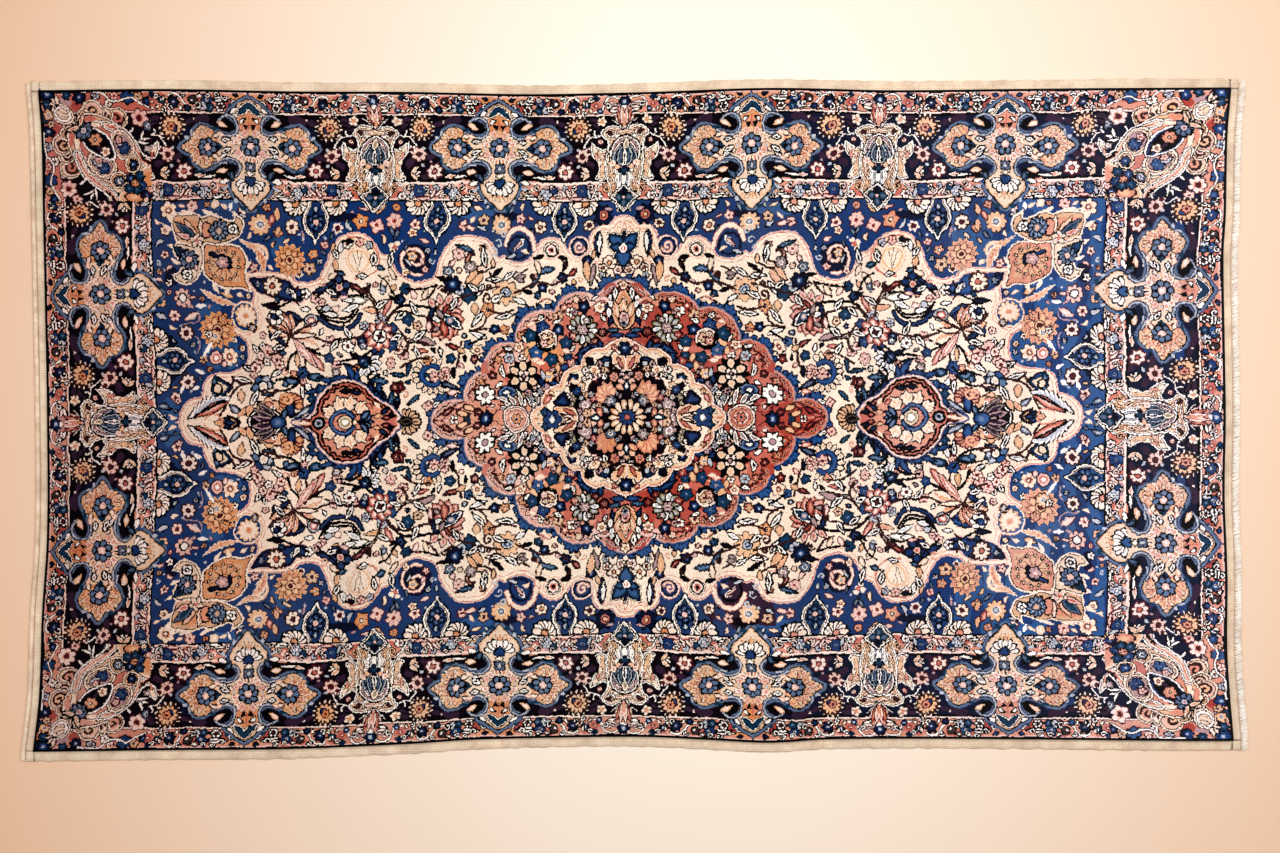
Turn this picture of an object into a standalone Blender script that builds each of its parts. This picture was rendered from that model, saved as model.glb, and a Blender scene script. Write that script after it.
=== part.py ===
"""A hand-knotted Persian rug lying flat, with a sewn white binding along each end.

The carpet is one woven piece: knotted pile inside, and a thin flat-woven band of bare
warp and weft all round it. Each short end is closed by a white overcast binding.
Metres, +Z up. The origin is under the middle of the rug, on the surface it lies on.
"""

import math
from collections import namedtuple

import bmesh
import bpy

MM = 0.001

# Thicknesses and widths, in millimetres.
PILE_HEIGHT = 8.0  # top of the pile above the floor
PILE_SHOULDER_HEIGHT = 6.6  # where the clipped pile starts to round over
PILE_SHOULDER_INSET = 1.2
PILE_CROWN_INSET = 5.0
BAND_HEIGHT = 3.0  # the flat-woven band round the pile
BAND_EDGE_HEIGHT = 2.0
BAND_EDGE_ROUND = 2.5  # width over which the band's outer edge rounds down
BAND_WIDTH = {"left": 14.0, "right": 14.0, "front": 18.5, "back": 17.5}
BINDING_WIDTH = {"left": 9.0, "right": 14.0}
BINDING_HEIGHT = 4.4
BINDING_FOOT_SHARE = 0.8  # width of the flat underside over the full width
SEAM_GAP = 0.3  # between a binding and the band it is sewn to

# A grid line of the carpet: its place as a share of the pile, how far outside the pile it
# lies in millimetres, and its height there.
Line = namedtuple("Line", "share outside height")

# The pile's four edges, in millimetres: how far each station lies along the edge, and
# how far out from the rug's middle the pile reaches there. Rug and loom are never square.
Station = namedtuple("Station", "along out")
BACK_EDGE = (  # along +X, out towards +Y
    Station(-1042, 579),
    Station(-811, 581),
    Station(-601, 577),
    Station(-391, 576),
    Station(-181, 572),
    Station(29, 576),
    Station(239, 583),
    Station(449, 579),
    Station(659, 581),
    Station(869, 583),
    Station(1047, 584),
)
FRONT_EDGE = (  # along +X, out towards -Y
    Station(-1051, 579),
    Station(-811, 576),
    Station(-601, 574),
    Station(-391, 565),
    Station(-286, 558),
    Station(-76, 553),
    Station(29, 553),
    Station(134, 558),
    Station(239, 563),
    Station(344, 557),
    Station(554, 556),
    Station(974, 560),
    Station(1051, 560),
)
LEFT_EDGE = (  # along +Y, out towards -X
    Station(-579, 1051),
    Station(-480, 1040),
    Station(-340, 1035),
    Station(-200, 1026),
    Station(10, 1026),
    Station(220, 1030),
    Station(360, 1033),
    Station(500, 1036),
    Station(579, 1042),
)
RIGHT_EDGE = (  # along +Y, out towards +X
    Station(-560, 1051),
    Station(-410, 1040),
    Station(-270, 1040),
    Station(-130, 1035),
    Station(10, 1037),
    Station(290, 1033),
    Station(360, 1037),
    Station(500, 1040),
    Station(584, 1047),
)

# Slow swells of the pile where the rug has not settled: places in shares of the half
# length and half width, reach in millimetres and height in millimetres.
Swell = namedtuple("Swell", "x y reach height")
SWELLS = (
    Swell(0.07, -0.93, 150, 0.9),
    Swell(0.24, -0.86, 120, -0.6),
    Swell(-0.42, -0.80, 220, 0.7),
    Swell(-0.78, 0.62, 200, 0.6),
    Swell(0.70, 0.55, 240, 0.5),
    Swell(0.35, 0.20, 260, -0.5),
    Swell(-0.30, 0.10, 260, 0.5),
    Swell(0.88, -0.55, 160, 0.6),
)

COLUMNS_INSIDE = 46
ROWS_INSIDE = 26

PILE_COLOUR = (0.26, 0.18, 0.18, 1.0)
BAND_COLOUR = (0.78, 0.66, 0.52, 1.0)
BINDING_COLOUR = (0.87, 0.82, 0.76, 1.0)


def clear_scene():
    for old in list(bpy.data.objects):
        bpy.data.objects.remove(old)


def material(name, colour, roughness):
    made = bpy.data.materials.new(name)
    made.use_nodes = True
    shader = made.node_tree.nodes["Principled BSDF"]
    shader.inputs["Base Color"].default_value = colour
    shader.inputs["Roughness"].default_value = roughness
    shader.inputs["Metallic"].default_value = 0.0
    return made


def reach_at(edge, share):
    """(along, out) on a smooth curve through an edge's stations; share runs from 0 to 1."""
    along = edge[0].along + share * (edge[-1].along - edge[0].along)
    last = len(edge) - 2
    span = next((i for i in range(last) if along <= edge[i + 1].along), last)
    start, end = edge[span], edge[span + 1]
    before = edge[max(span - 1, 0)]
    after = edge[min(span + 2, len(edge) - 1)]
    width = end.along - start.along
    slope_in = (end.out - before.out) / (end.along - before.along) * width
    slope_out = (after.out - start.out) / (after.along - start.along) * width
    t = (along - start.along) / width
    out = (
        (2 * t**3 - 3 * t**2 + 1) * start.out
        + (t**3 - 2 * t**2 + t) * slope_in
        + (3 * t**2 - 2 * t**3) * end.out
        + (t**3 - t**2) * slope_out
    )
    return along, out


def pile_point(u, v):
    """Place on the pile's plan, in millimetres: u from left to right, v from front to back."""
    front_x, front_out = reach_at(FRONT_EDGE, u)
    back_x, back_out = reach_at(BACK_EDGE, u)
    left_y, left_out = reach_at(LEFT_EDGE, v)
    right_y, right_out = reach_at(RIGHT_EDGE, v)
    sides_x = (1 - v) * front_x + v * back_x
    sides_y = (1 - v) * -front_out + v * back_out
    ends_x = (1 - u) * -left_out + u * right_out
    ends_y = (1 - u) * left_y + u * right_y
    corners_x = (
        (1 - u) * ((1 - v) * FRONT_EDGE[0].along + v * BACK_EDGE[0].along)
        + u * ((1 - v) * FRONT_EDGE[-1].along + v * BACK_EDGE[-1].along)
    )
    corners_y = (
        (1 - v) * -((1 - u) * FRONT_EDGE[0].out + u * FRONT_EDGE[-1].out)
        + v * ((1 - u) * BACK_EDGE[0].out + u * BACK_EDGE[-1].out)
    )
    return sides_x + ends_x - corners_x, sides_y + ends_y - corners_y


def box_middle():
    """Middle of the whole rug's box, bindings included, in the stations' own frame."""
    shares = [i / 400 for i in range(401)]
    left = max(reach_at(LEFT_EDGE, s)[1] for s in shares)
    right = max(reach_at(RIGHT_EDGE, s)[1] for s in shares)
    front = max(reach_at(FRONT_EDGE, s)[1] for s in shares)
    back = max(reach_at(BACK_EDGE, s)[1] for s in shares)
    left += BAND_WIDTH["left"] + SEAM_GAP + BINDING_WIDTH["left"]
    right += BAND_WIDTH["right"] + SEAM_GAP + BINDING_WIDTH["right"]
    return (right - left) / 2, (back + BAND_WIDTH["back"] - front - BAND_WIDTH["front"]) / 2


def swell_at(x, y):
    half_length, half_width = BACK_EDGE[-1].along, BACK_EDGE[0].out
    return sum(
        swell.height
        * math.exp(
            -((x - swell.x * half_length) ** 2 + (y - swell.y * half_width) ** 2)
            / swell.reach**2
        )
        for swell in SWELLS
    )


def grid_lines(length, before, after, inside):
    """Lines across the rug: share of the pile, millimetres outside it, and height."""

    def band(width):
        return (
            (width, BAND_EDGE_HEIGHT),
            (width - BAND_EDGE_ROUND, BAND_HEIGHT),
            (0.0, BAND_HEIGHT),
        )

    shoulder = PILE_SHOULDER_INSET / length
    crown = PILE_CROWN_INSET / length
    lines = [Line(0.0, -out, height) for out, height in band(before)]
    lines.append(Line(shoulder, 0.0, PILE_SHOULDER_HEIGHT))
    for i in range(inside + 1):
        lines.append(Line(crown + (1 - 2 * crown) * i / inside, 0.0, PILE_HEIGHT))
    lines.append(Line(1 - shoulder, 0.0, PILE_SHOULDER_HEIGHT))
    lines += [Line(1.0, out, height) for out, height in reversed(band(after))]
    return lines


def columns_and_rows():
    length = BACK_EDGE[-1].along - BACK_EDGE[0].along
    width = LEFT_EDGE[-1].along - LEFT_EDGE[0].along
    columns = grid_lines(length, BAND_WIDTH["left"], BAND_WIDTH["right"], COLUMNS_INSIDE)
    rows = grid_lines(width, BAND_WIDTH["front"], BAND_WIDTH["back"], ROWS_INSIDE)
    return columns, rows


def carpet_grid():
    """Top points of the carpet in metres, row by row."""
    middle_x, middle_y = box_middle()
    columns, rows = columns_and_rows()
    points = []
    for row in rows:
        line = []
        for column in columns:
            x, y = pile_point(column.share, row.share)
            x += column.outside
            y += row.outside
            height = min(column.height, row.height)
            if height == PILE_HEIGHT:
                height += swell_at(x, y)
            line.append(((x - middle_x) * MM, (y - middle_y) * MM, height * MM))
        points.append(line)
    return points


def carpet():
    """The woven piece: a grid of points on top, the same plan on the floor, and a rim."""
    points = carpet_grid()
    mesh = bmesh.new()
    top = [[mesh.verts.new(p) for p in line] for line in points]
    floor = [[mesh.verts.new((x, y, 0.0)) for x, y, _ in line] for line in points]
    rows, columns = len(points), len(points[0])
    first_pile, band_slot, pile_slot = 3, 1, 0
    for j in range(rows - 1):
        for i in range(columns - 1):
            face = mesh.faces.new(
                (top[j][i], top[j][i + 1], top[j + 1][i + 1], top[j + 1][i])
            )
            in_pile = (
                first_pile - 1 <= i < columns - first_pile
                and first_pile - 1 <= j < rows - first_pile
            )
            face.material_index = pile_slot if in_pile else band_slot
            under = mesh.faces.new(
                (floor[j + 1][i], floor[j + 1][i + 1], floor[j][i + 1], floor[j][i])
            )
            under.material_index = face.material_index
    rim = (
        [(0, i) for i in range(columns - 1)]
        + [(j, columns - 1) for j in range(rows - 1)]
        + [(rows - 1, i) for i in range(columns - 1, 0, -1)]
        + [(j, 0) for j in range(rows - 1, 0, -1)]
    )
    for (j, i), (next_j, next_i) in zip(rim, rim[1:] + rim[:1]):
        side = mesh.faces.new(
            (floor[j][i], floor[next_j][next_i], top[next_j][next_i], top[j][i])
        )
        side.material_index = band_slot
    data = bpy.data.meshes.new("rug")
    mesh.to_mesh(data)
    mesh.free()
    rug = bpy.data.objects.new("rug", data)
    bpy.context.scene.collection.objects.link(rug)
    data.materials.append(material("pile", PILE_COLOUR, 0.95))
    data.materials.append(material("band", BAND_COLOUR, 0.95))
    return rug


def binding_section(width):
    """Half-round section, from its inner foot over the top: (share outwards, height) in mm."""
    foot = width * (1 - BINDING_FOOT_SHARE) / 2
    section = [(foot, 0.0)]
    arc_steps = 8
    for i in range(arc_steps + 1):
        angle = math.pi * (1 - i / arc_steps)
        across = width / 2 + width / 2 * math.cos(angle)
        rise = BINDING_HEIGHT * (0.35 + 0.65 * math.sin(angle))
        section.append((across, rise))
    section.append((width - foot, 0.0))
    return section


def end_binding(side, edge, outward):
    """The white overcast strip sewn along one short end, on the carpet's own row lines."""
    middle_x, middle_y = box_middle()
    section = binding_section(BINDING_WIDTH[side])
    inner = BAND_WIDTH[side] + SEAM_GAP
    mesh = bmesh.new()
    rings = []
    for row in columns_and_rows()[1]:
        along, out = reach_at(edge, row.share)
        y = (along + row.outside - middle_y) * MM
        rings.append(
            [
                mesh.verts.new(((outward * (out + inner + across) - middle_x) * MM, y, rise * MM))
                for across, rise in section
            ]
        )
    for ring, following in zip(rings, rings[1:]):
        for i in range(len(section)):
            j = (i + 1) % len(section)
            mesh.faces.new((ring[i], ring[j], following[j], following[i]))
    mesh.faces.new(rings[0])
    mesh.faces.new(rings[-1])
    bmesh.ops.recalc_face_normals(mesh, faces=mesh.faces)
    name = "end_binding_" + side
    data = bpy.data.meshes.new(name)
    mesh.to_mesh(data)
    mesh.free()
    data.materials.append(material(name, BINDING_COLOUR, 0.9))
    binding = bpy.data.objects.new(name, data)
    bpy.context.scene.collection.objects.link(binding)
    return binding


clear_scene()
carpet()
end_binding("left", LEFT_EDGE, -1)
end_binding("right", RIGHT_EDGE, 1)
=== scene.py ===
import math
import random
import re
import bpy
import numpy as np
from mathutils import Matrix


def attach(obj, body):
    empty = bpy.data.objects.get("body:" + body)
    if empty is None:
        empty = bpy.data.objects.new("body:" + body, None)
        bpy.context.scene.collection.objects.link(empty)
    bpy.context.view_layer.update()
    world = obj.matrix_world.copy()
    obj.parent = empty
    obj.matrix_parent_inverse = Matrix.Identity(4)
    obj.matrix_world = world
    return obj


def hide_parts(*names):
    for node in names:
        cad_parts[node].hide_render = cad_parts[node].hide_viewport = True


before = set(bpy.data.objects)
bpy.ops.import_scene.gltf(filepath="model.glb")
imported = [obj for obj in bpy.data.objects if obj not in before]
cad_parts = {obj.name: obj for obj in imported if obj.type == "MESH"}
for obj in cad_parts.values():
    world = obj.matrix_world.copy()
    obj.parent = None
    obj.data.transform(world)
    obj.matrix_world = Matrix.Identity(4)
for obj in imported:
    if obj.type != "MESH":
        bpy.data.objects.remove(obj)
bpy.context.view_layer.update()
mm = 0.001

# the knot chart: drawn in millimetres, one yarn to a knot
knot = 4 / 3  # millimetres from knot to knot

yarnColours = {  # dyed wool, as sRGB parts of 255
    "ink": (8, 4, 8),
    "night": (19, 10, 20),
    "navy": (20, 26, 52),
    "blue": (34, 63, 112),
    "royal": (52, 92, 142),
    "sky": (104, 128, 160),
    "slate": (98, 108, 130),
    "teal": (24, 62, 88),
    "ice": (196, 198, 206),
    "grey": (150, 132, 128),
    "mauve": (188, 152, 154),
    "violet": (60, 38, 60),
    "wine": (84, 28, 36),
    "red": (176, 78, 66),
    "rose": (202, 114, 97),
    "salmon": (220, 152, 128),
    "pink": (236, 194, 182),
    "blush": (250, 224, 212),
    "orange": (222, 152, 106),
    "apricot": (238, 190, 150),
    "tan": (220, 176, 140),
    "sand": (238, 210, 184),
    "cream": (250, 227, 206),
    "ivory": (255, 246, 238),
    "sage": (160, 148, 118),
    "olive": (74, 64, 54),
    "brown": (60, 30, 28),
}
yarnNames = list(yarnColours)
lineYarns = ("ink", "brown", "wine")


def newChart(left, right, bottom, top, yarn):
    x = left + knot * (np.arange(round((right - left) / knot)) + 0.5)
    y = bottom + knot * (np.arange(round((top - bottom) / knot)) + 0.5)
    index = yarnNames.index(yarn) if yarn else -1  # -1 is a knot not tied yet
    return {"x": x, "y": y, "yarn": np.full((len(y), len(x)), index, np.int8)}


def near(chart, place, reach):
    # the knots round a place, and how far right of it and above it they are
    columns = slice(*np.searchsorted(chart["x"], (place[0] - reach, place[0] + reach)))
    rows = slice(*np.searchsorted(chart["y"], (place[1] - reach, place[1] + reach)))
    right = chart["x"][None, columns] - place[0]
    up = chart["y"][rows, None] - place[1]
    return chart["yarn"][rows, columns], right, up


def turned(right, up, turn):
    # along and across a direction given in degrees from the right
    c, s = math.cos(math.radians(turn)), math.sin(math.radians(turn))
    return right * c + up * s, up * c - right * s


def tie(knots, bands, distance):
    # bands of yarn from the outside in: each takes what is nearer than its distance
    for limit, yarn in bands:
        if yarn in lineYarns and 0.6 < limit < 1.9:
            limit += 1.0  # a drawn outline is two knots wide
        knots[np.broadcast_to(distance < limit, knots.shape)] = yarnNames.index(yarn)


def disc(chart, place, radius, *bands):
    knots, right, up = near(chart, place, radius + 4)
    tie(knots, bands, np.hypot(right, up) - radius)


def oval(chart, place, radii, turn, *bands):
    knots, right, up = near(chart, place, max(radii) + 5)
    along, across = turned(right, up, turn)
    shape = np.hypot(along / radii[0], across / radii[1])
    tie(knots, bands, (shape - 1) * min(radii))


def flower(chart, place, radius, petals, colours, turn=0.0, depth=0.28, pointed=False):
    # a rosette of petals: rim line, petal, vein between petals, ring, heart, eye
    rim, petal, vein, ring, heart, eye = colours
    knots, right, up = near(chart, place, radius + 4)
    angle = np.arctan2(up, right) - math.radians(turn)
    out = np.hypot(right, up)
    wave = np.abs(np.cos(petals * angle / 2))
    edge = radius * (1 - depth * ((1 - wave) if not pointed else np.sqrt(1 - wave**2)))
    distance = out - edge
    tie(knots, ((1.3, rim), (0.0, petal)) if rim else ((0.0, petal),), distance)
    if vein:
        between = (distance < 0) & (wave * out < 1.1) & (out > radius * 0.3)
        knots[between] = yarnNames.index(vein)
    inner = radius * 0.45
    for share, yarn in ((1.0, ring), (0.72, heart), (0.4, eye)):
        if yarn:
            tie(knots, ((0.0, yarn),), out - inner * share)


def daisy(chart, place, radius, petals, petal, line, heart, turn=0.0, fat=0.8):
    # loose petals standing apart round a heart
    knots, right, up = near(chart, place, radius + 4)
    out = np.hypot(right, up)
    step = 2 * math.pi / petals
    angle = (np.arctan2(up, right) - math.radians(turn) + step / 2) % step - step / 2
    along, across = out * np.cos(angle), out * np.sin(angle)
    middle, half = radius * 0.66, radius * 0.34
    wide = middle * math.sin(step / 2) * fat
    distance = (np.hypot((along - middle) / half, across / wide) - 1) * min(half, wide)
    if line:
        tie(knots, ((1.4, line),), distance)
    tie(knots, ((0.0, petal),), distance)
    tie(knots, ((1.2, line or heart), (0.0, heart)), out - radius * 0.26)


def leaf(chart, place, length, width, turn, *bands, bend=0.0, teeth=0, rib=None, fat=0.8):
    # a leaf from its stalk end; bend is how far its middle swings to the left
    knots, right, up = near(chart, place, length + abs(bend) + 4)
    along, across = turned(right, up, turn)
    share = np.clip(along / length, 0, 1)
    half = width / 2 * np.sin(math.pi * share**fat)
    if teeth:
        half = half * (1 - 0.45 * ((share * teeth) % 1))
    middle = bend * np.sin(math.pi * share)
    past = np.maximum(np.maximum(-along, along - length), 0)
    distance = np.hypot(np.maximum(np.abs(across - middle) - half, 0), past)
    inner = np.abs(across - middle) - half
    distance = np.where((inner < 0) & (past == 0), inner, distance)
    tie(knots, bands, distance)
    if rib:
        line = (np.abs(across - middle) < 0.8) & (share > 0.08) & (share < 0.85)
        knots[line & (inner < -1.2)] = yarnNames.index(rib)


def curved(points, closed=False, step=2.5):
    # a smooth line through given points
    points = np.array(points, float)
    count = len(points)
    path = []
    for i in range(count if closed else count - 1):
        if closed:
            a, b, c, d = (points[(i + k) % count] for k in (-1, 0, 1, 2))
        else:
            a, b = points[max(i - 1, 0)], points[i]
            c, d = points[i + 1], points[min(i + 2, count - 1)]
        pieces = max(2, int(np.hypot(*(c - b)) / step))
        t = (np.arange(pieces) / pieces)[:, None]
        path.append(
            b + t * (c - a) / 2 + t**2 * (a - 2.5 * b + 2 * c - d / 2)
            + t**3 * (1.5 * b - a / 2 - 1.5 * c + d / 2)
        )
    if not closed:
        path.append(points[-1:])
    return np.concatenate(path)


def scalloped(rows, step=2.5):
    # arcs from row to row: x, y and how far the arc to the next row bulges, as a share
    # of half its chord; more than 0 bulges to the left of the way round
    path = []
    for (ax, ay, bulge), (bx, by, _) in zip(rows, rows[1:] + rows[:1]):
        chord = math.hypot(bx - ax, by - ay)
        count = max(1, int(chord / step))
        for i in range(count):
            t = i / count
            lift = bulge * chord / 2 * (1 - (2 * t - 1) ** 2) ** 0.75
            path.append(
                (ax + (bx - ax) * t - (by - ay) / chord * lift,
                 ay + (by - ay) * t + (bx - ax) / chord * lift)
            )
    return np.array(path)


def lineDistance(chart, path, reach, closed):
    # distance of the knots near a path from it; inside a closed path it is below zero
    low, high = path.min(0) - reach, path.max(0) + reach
    columns = slice(*np.searchsorted(chart["x"], (low[0], high[0])))
    rows = slice(*np.searchsorted(chart["y"], (low[1], high[1])))
    x = chart["x"][None, columns]
    y = chart["y"][rows, None]
    nearest = np.full(chart["yarn"][rows, columns].shape, 1e9)
    inside = np.zeros(nearest.shape, bool)
    ends = np.roll(path, -1, 0) if closed else path[1:]
    for (ax, ay), (bx, by) in zip(path, ends):
        ex, ey = bx - ax, by - ay
        t = np.clip(((x - ax) * ex + (y - ay) * ey) / (ex * ex + ey * ey + 1e-9), 0, 1)
        nearest = np.minimum(nearest, (x - ax - t * ex) ** 2 + (y - ay - t * ey) ** 2)
        if closed and ay != by:
            inside ^= ((ay > y) != (by > y)) & (x < ex * (y - ay) / ey + ax)
    distance = np.sqrt(nearest)
    return chart["yarn"][rows, columns], np.where(inside, -distance, distance)


def patch(chart, points, *bands, smooth=True):
    # a closed form through given points
    path = curved(points, closed=True) if smooth else np.array(points, float)
    knots, distance = lineDistance(chart, path, 12, True)
    tie(knots, bands, distance)


def stem(chart, points, *bands):
    # a line through points; each band's distance is half its width
    knots, distance = lineDistance(chart, curved(points), 10, False)
    tie(knots, bands, distance)


def curl(chart, place, radius, turns, start, *bands):
    # a spiral scroll, from its outer end inwards
    steps = int(14 * abs(turns)) + 2
    points = []
    for i in range(steps):
        t = i / (steps - 1)
        angle = math.radians(start) + 2 * math.pi * turns * t
        out = radius * (1 - 0.85 * t)
        points.append((place[0] + out * math.cos(angle), place[1] + out * math.sin(angle)))
    knots, distance = lineDistance(chart, np.array(points), 6, False)
    tie(knots, bands, distance)


def palmette(chart, place, radius, turn, colours, petals=7, spread=230.0):
    # a fan of petals opening towards a direction, over a cup and a heart
    rim, petal, vein, inner, heart = colours
    knots, right, up = near(chart, place, radius * 1.2 + 4)
    along, across = turned(right, up, turn)
    out = np.hypot(along, across)
    angle = np.degrees(np.arctan2(across, along))
    share = np.clip(np.abs(angle) / (spread / 2), 0, 1)
    wave = np.abs(np.cos(np.radians(angle) * petals * 180 / spread))
    edge = radius * (1 - 0.38 * share**1.5) * (0.8 + 0.2 * wave)
    edge = np.where(np.abs(angle) > spread / 2, radius * 0.35, edge)
    distance = out - edge
    tie(knots, ((1.3, rim), (0.0, petal)) if rim else ((0.0, petal),), distance)
    if vein:
        lines = (distance < -0.5) & (wave * out < 1.2) & (out > radius * 0.4)
        knots[lines & (np.abs(angle) < spread / 2)] = yarnNames.index(vein)
    core = np.hypot((along - radius * 0.22) / (radius * 0.5), across / (radius * 0.42))
    tie(knots, ((1.3, vein or rim or heart), (0.0, inner)), (core - 1) * radius * 0.42)
    core = np.hypot((along - radius * 0.15) / (radius * 0.28), across / (radius * 0.2))
    tie(knots, ((0.0, heart),), (core - 1) * radius * 0.2)


def ribbon(chart, points, wide, yarn, line):
    # a pale band with a dark line along both edges
    stem(chart, points, (wide / 2 + 1.3, line), (wide / 2, yarn))


plan = {  # the pile's layout in millimetres from the middle of the medallion
    "halfLength": 1024.0,
    "halfWidth": 428 * knot,
    "fieldHalfLength": 833.33,
    "fieldHalfWidth": 380.0,
    "repeat": 220.0,  # from a vase to the next cartouche
}
depth = plan["halfWidth"] - plan["fieldHalfWidth"]


def pairs(numbers):
    return list(zip(numbers[::2], numbers[1::2]))


def points(text):
    return pairs([float(word) for word in text.split()])


def listed(rows):
    # rows set down as plain text, numbers and kinds, with commas between them
    for row in rows.split(","):
        yield [None if word == "-" else word if word[-1].isalpha() else float(word) for word in row.split()]


# yarns of the rosettes: kind, rim, petal, vein, ring, heart, eye
blooms = {kind: yarns for kind, *yarns in listed("""navy ink navy ink blue royal ice,
    blue ink blue ink royal navy sky, royal ink royal ink blue sky pink, teal ink teal ink blue teal sky,
    ice ink ice ink slate navy pink, slate ink slate ink ivory slate -, grey ink grey ink ivory mauve -,
    ivory ink ivory ink cream wine -, cream brown cream tan orange wine cream,
    blush wine blush rose salmon wine -, pink wine pink wine blush rose wine,
    rose wine rose wine pink wine blush, apricot brown apricot orange cream slate ice,
    orange brown orange brown apricot wine cream, tan brown tan brown sand wine -,
    wine ink wine ink rose ink pink, mauve ink mauve violet pink ink -, sage ink sage ink sand teal -,
    salmon brown salmon wine rose wine blush, red ink red ink pink wine -,
    violet ink violet ink mauve ink -, dusk ink navy ink rose wine apricot""")}
# yarns of the leaves: kind, and bands from the outline in
foliage = {kind: pairs(bands) for kind, *bands in listed("""ink 1 ink -1.2 night,
    dark 1.4 ink -.4 ivory -2.6 ink, ivory 1.4 ink 0 ivory -2.6 ice, white .8 ivory,
    navy 1.3 ink 0 navy -2.4 blue, blue 1.3 ink 0 blue -2.4 royal, teal 1.3 ink 0 teal -2.2 sky,
    slate 1.2 ink 0 slate -2.2 ice, ice 1.2 ink 0 ice, grey 1.2 ink 0 grey -2.2 mauve,
    sage 1.2 ink 0 sage -2 ivory, sand 1.1 brown 0 sand -2.2 cream, tan 1.1 brown 0 tan -2.4 apricot,
    apricot 1.1 brown 0 apricot -2.4 orange -3.8 apricot, cream 1.1 apricot 0 cream -2.4 apricot,
    pink 1.1 wine 0 pink -2.2 blush, rose 1.1 wine 0 rose -2.4 pink, mauve .9 violet 0 mauve -2 pink,
    wine 1.2 ink 0 wine -2.4 rose, line 1 brown -.6 cream, loop 1 salmon -.6 cream,
    blot 1.2 ink 0 navy -1.8 blue -3.4 royal, feather 1.3 ink 0 ivory -2 grey,
    plume .8 cream -1 salmon -2.2 apricot -4.6 rose""")}


def drawShape(chart, row, place):
    # a shape's name, place and sizes | its yarns | what else it takes
    start, yarns, *rest = [part.split() for part in row.split("|")]
    name, numbers = start[0], [float(word) for word in start[1:]]
    options = {}
    for key, value in pairs(rest[0] if rest else []):
        options[key] = value if value[-1].isalpha() else float(value)
    out = options.pop("out", 0)  # how far it stands off from the place, and which way
    way = math.radians(options.pop("way", numbers[-1]))
    right, up = out * math.cos(way), out * math.sin(way)
    points = [(x + right + place[0], y + up + place[1]) for x, y in pairs(numbers)]
    if name in ("stem", "patch", "ribbon"):
        sizes = [points]
    elif name == "oval":
        sizes = [points[0], numbers[2:4], numbers[4]]
    else:
        sizes = [points[0], *numbers[2:]]
    if name in ("flower", "daisy"):
        yarns = [None if yarn == "-" else yarn for yarn in yarns]
        if name == "flower":
            yarns = [blooms[yarns[0]] if len(yarns) == 1 else yarns]
    elif name == "ribbon":
        yarns[0] = float(yarns[0])
    else:
        yarns = [(float(limit), yarn) for limit, yarn in pairs(yarns)] or foliage[yarns[0]]
    shapes = {shape.__name__: shape for shape in (disc, oval, leaf, curl, stem, patch, ribbon, flower, daisy)}
    shapes[name](chart, *sizes, *yarns, **options)


def repeats(values):
    # what stands in a row's braces, time after time
    words = values.split()
    if not words:
        return [[]]
    if words[0] == "every":  # so many directions round a circle, from the first
        return [[360 / int(words[1]) * i + float(words[2])] for i in range(int(words[1]))]
    if words[0] == "steps":
        return [[float(words[1]) + float(words[2]) * i] for i in range(int(words[3]))]
    return [group.split() for group in values.split(",")]


def draw(chart, text, place=(0, 0), across=None):
    # one shape or table a row; & joins shapes, @ gives what goes in the braces, both draws it across too
    for row in re.split(r"\n\s*(?=[a-z#])", text):
        name, rest = row.split(None, 1)
        if name in ("blossoms", "leaves", "daisies", "pools"):
            {"blossoms": blossoms, "leaves": leaves, "daisies": daisies, "pools": pools}[name](chart, rest)
        elif name != "#":
            shapes, _, values = row.removeprefix("both ").partition("@")
            for words in repeats(values):
                for shape in shapes.format(*words, all=" ".join(map(str, words))).split("&"):
                    for knots in (chart, across) if name == "both" else (chart,):
                        drawShape(knots, shape, place)


def bar(chart, low, high, yarn):
    # a straight stripe of one yarn along the border
    rows = (chart["y"] > low) & (chart["y"] < high)
    chart["yarn"][rows] = yarnNames.index(yarn)


stripeRows = (  # the border's stripes, from the inside out
    (380, 382.5, "ink"), (382.5, 385, "blush"), (385, 411, "pink"), (411, 415, "blush"),
              (415, 418.5, "ink"), (418.5, 526.5, "night"),
    (526.5, 530, "ink"), (530, 534, "blush"), (534, 564, "salmon"), (564, 565.5, "pink"), (565.5, 571, "ink"),
)


def borderStripes(chart):
    for low, high, yarn in stripeRows:
        bar(chart, low, high, yarn)


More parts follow.
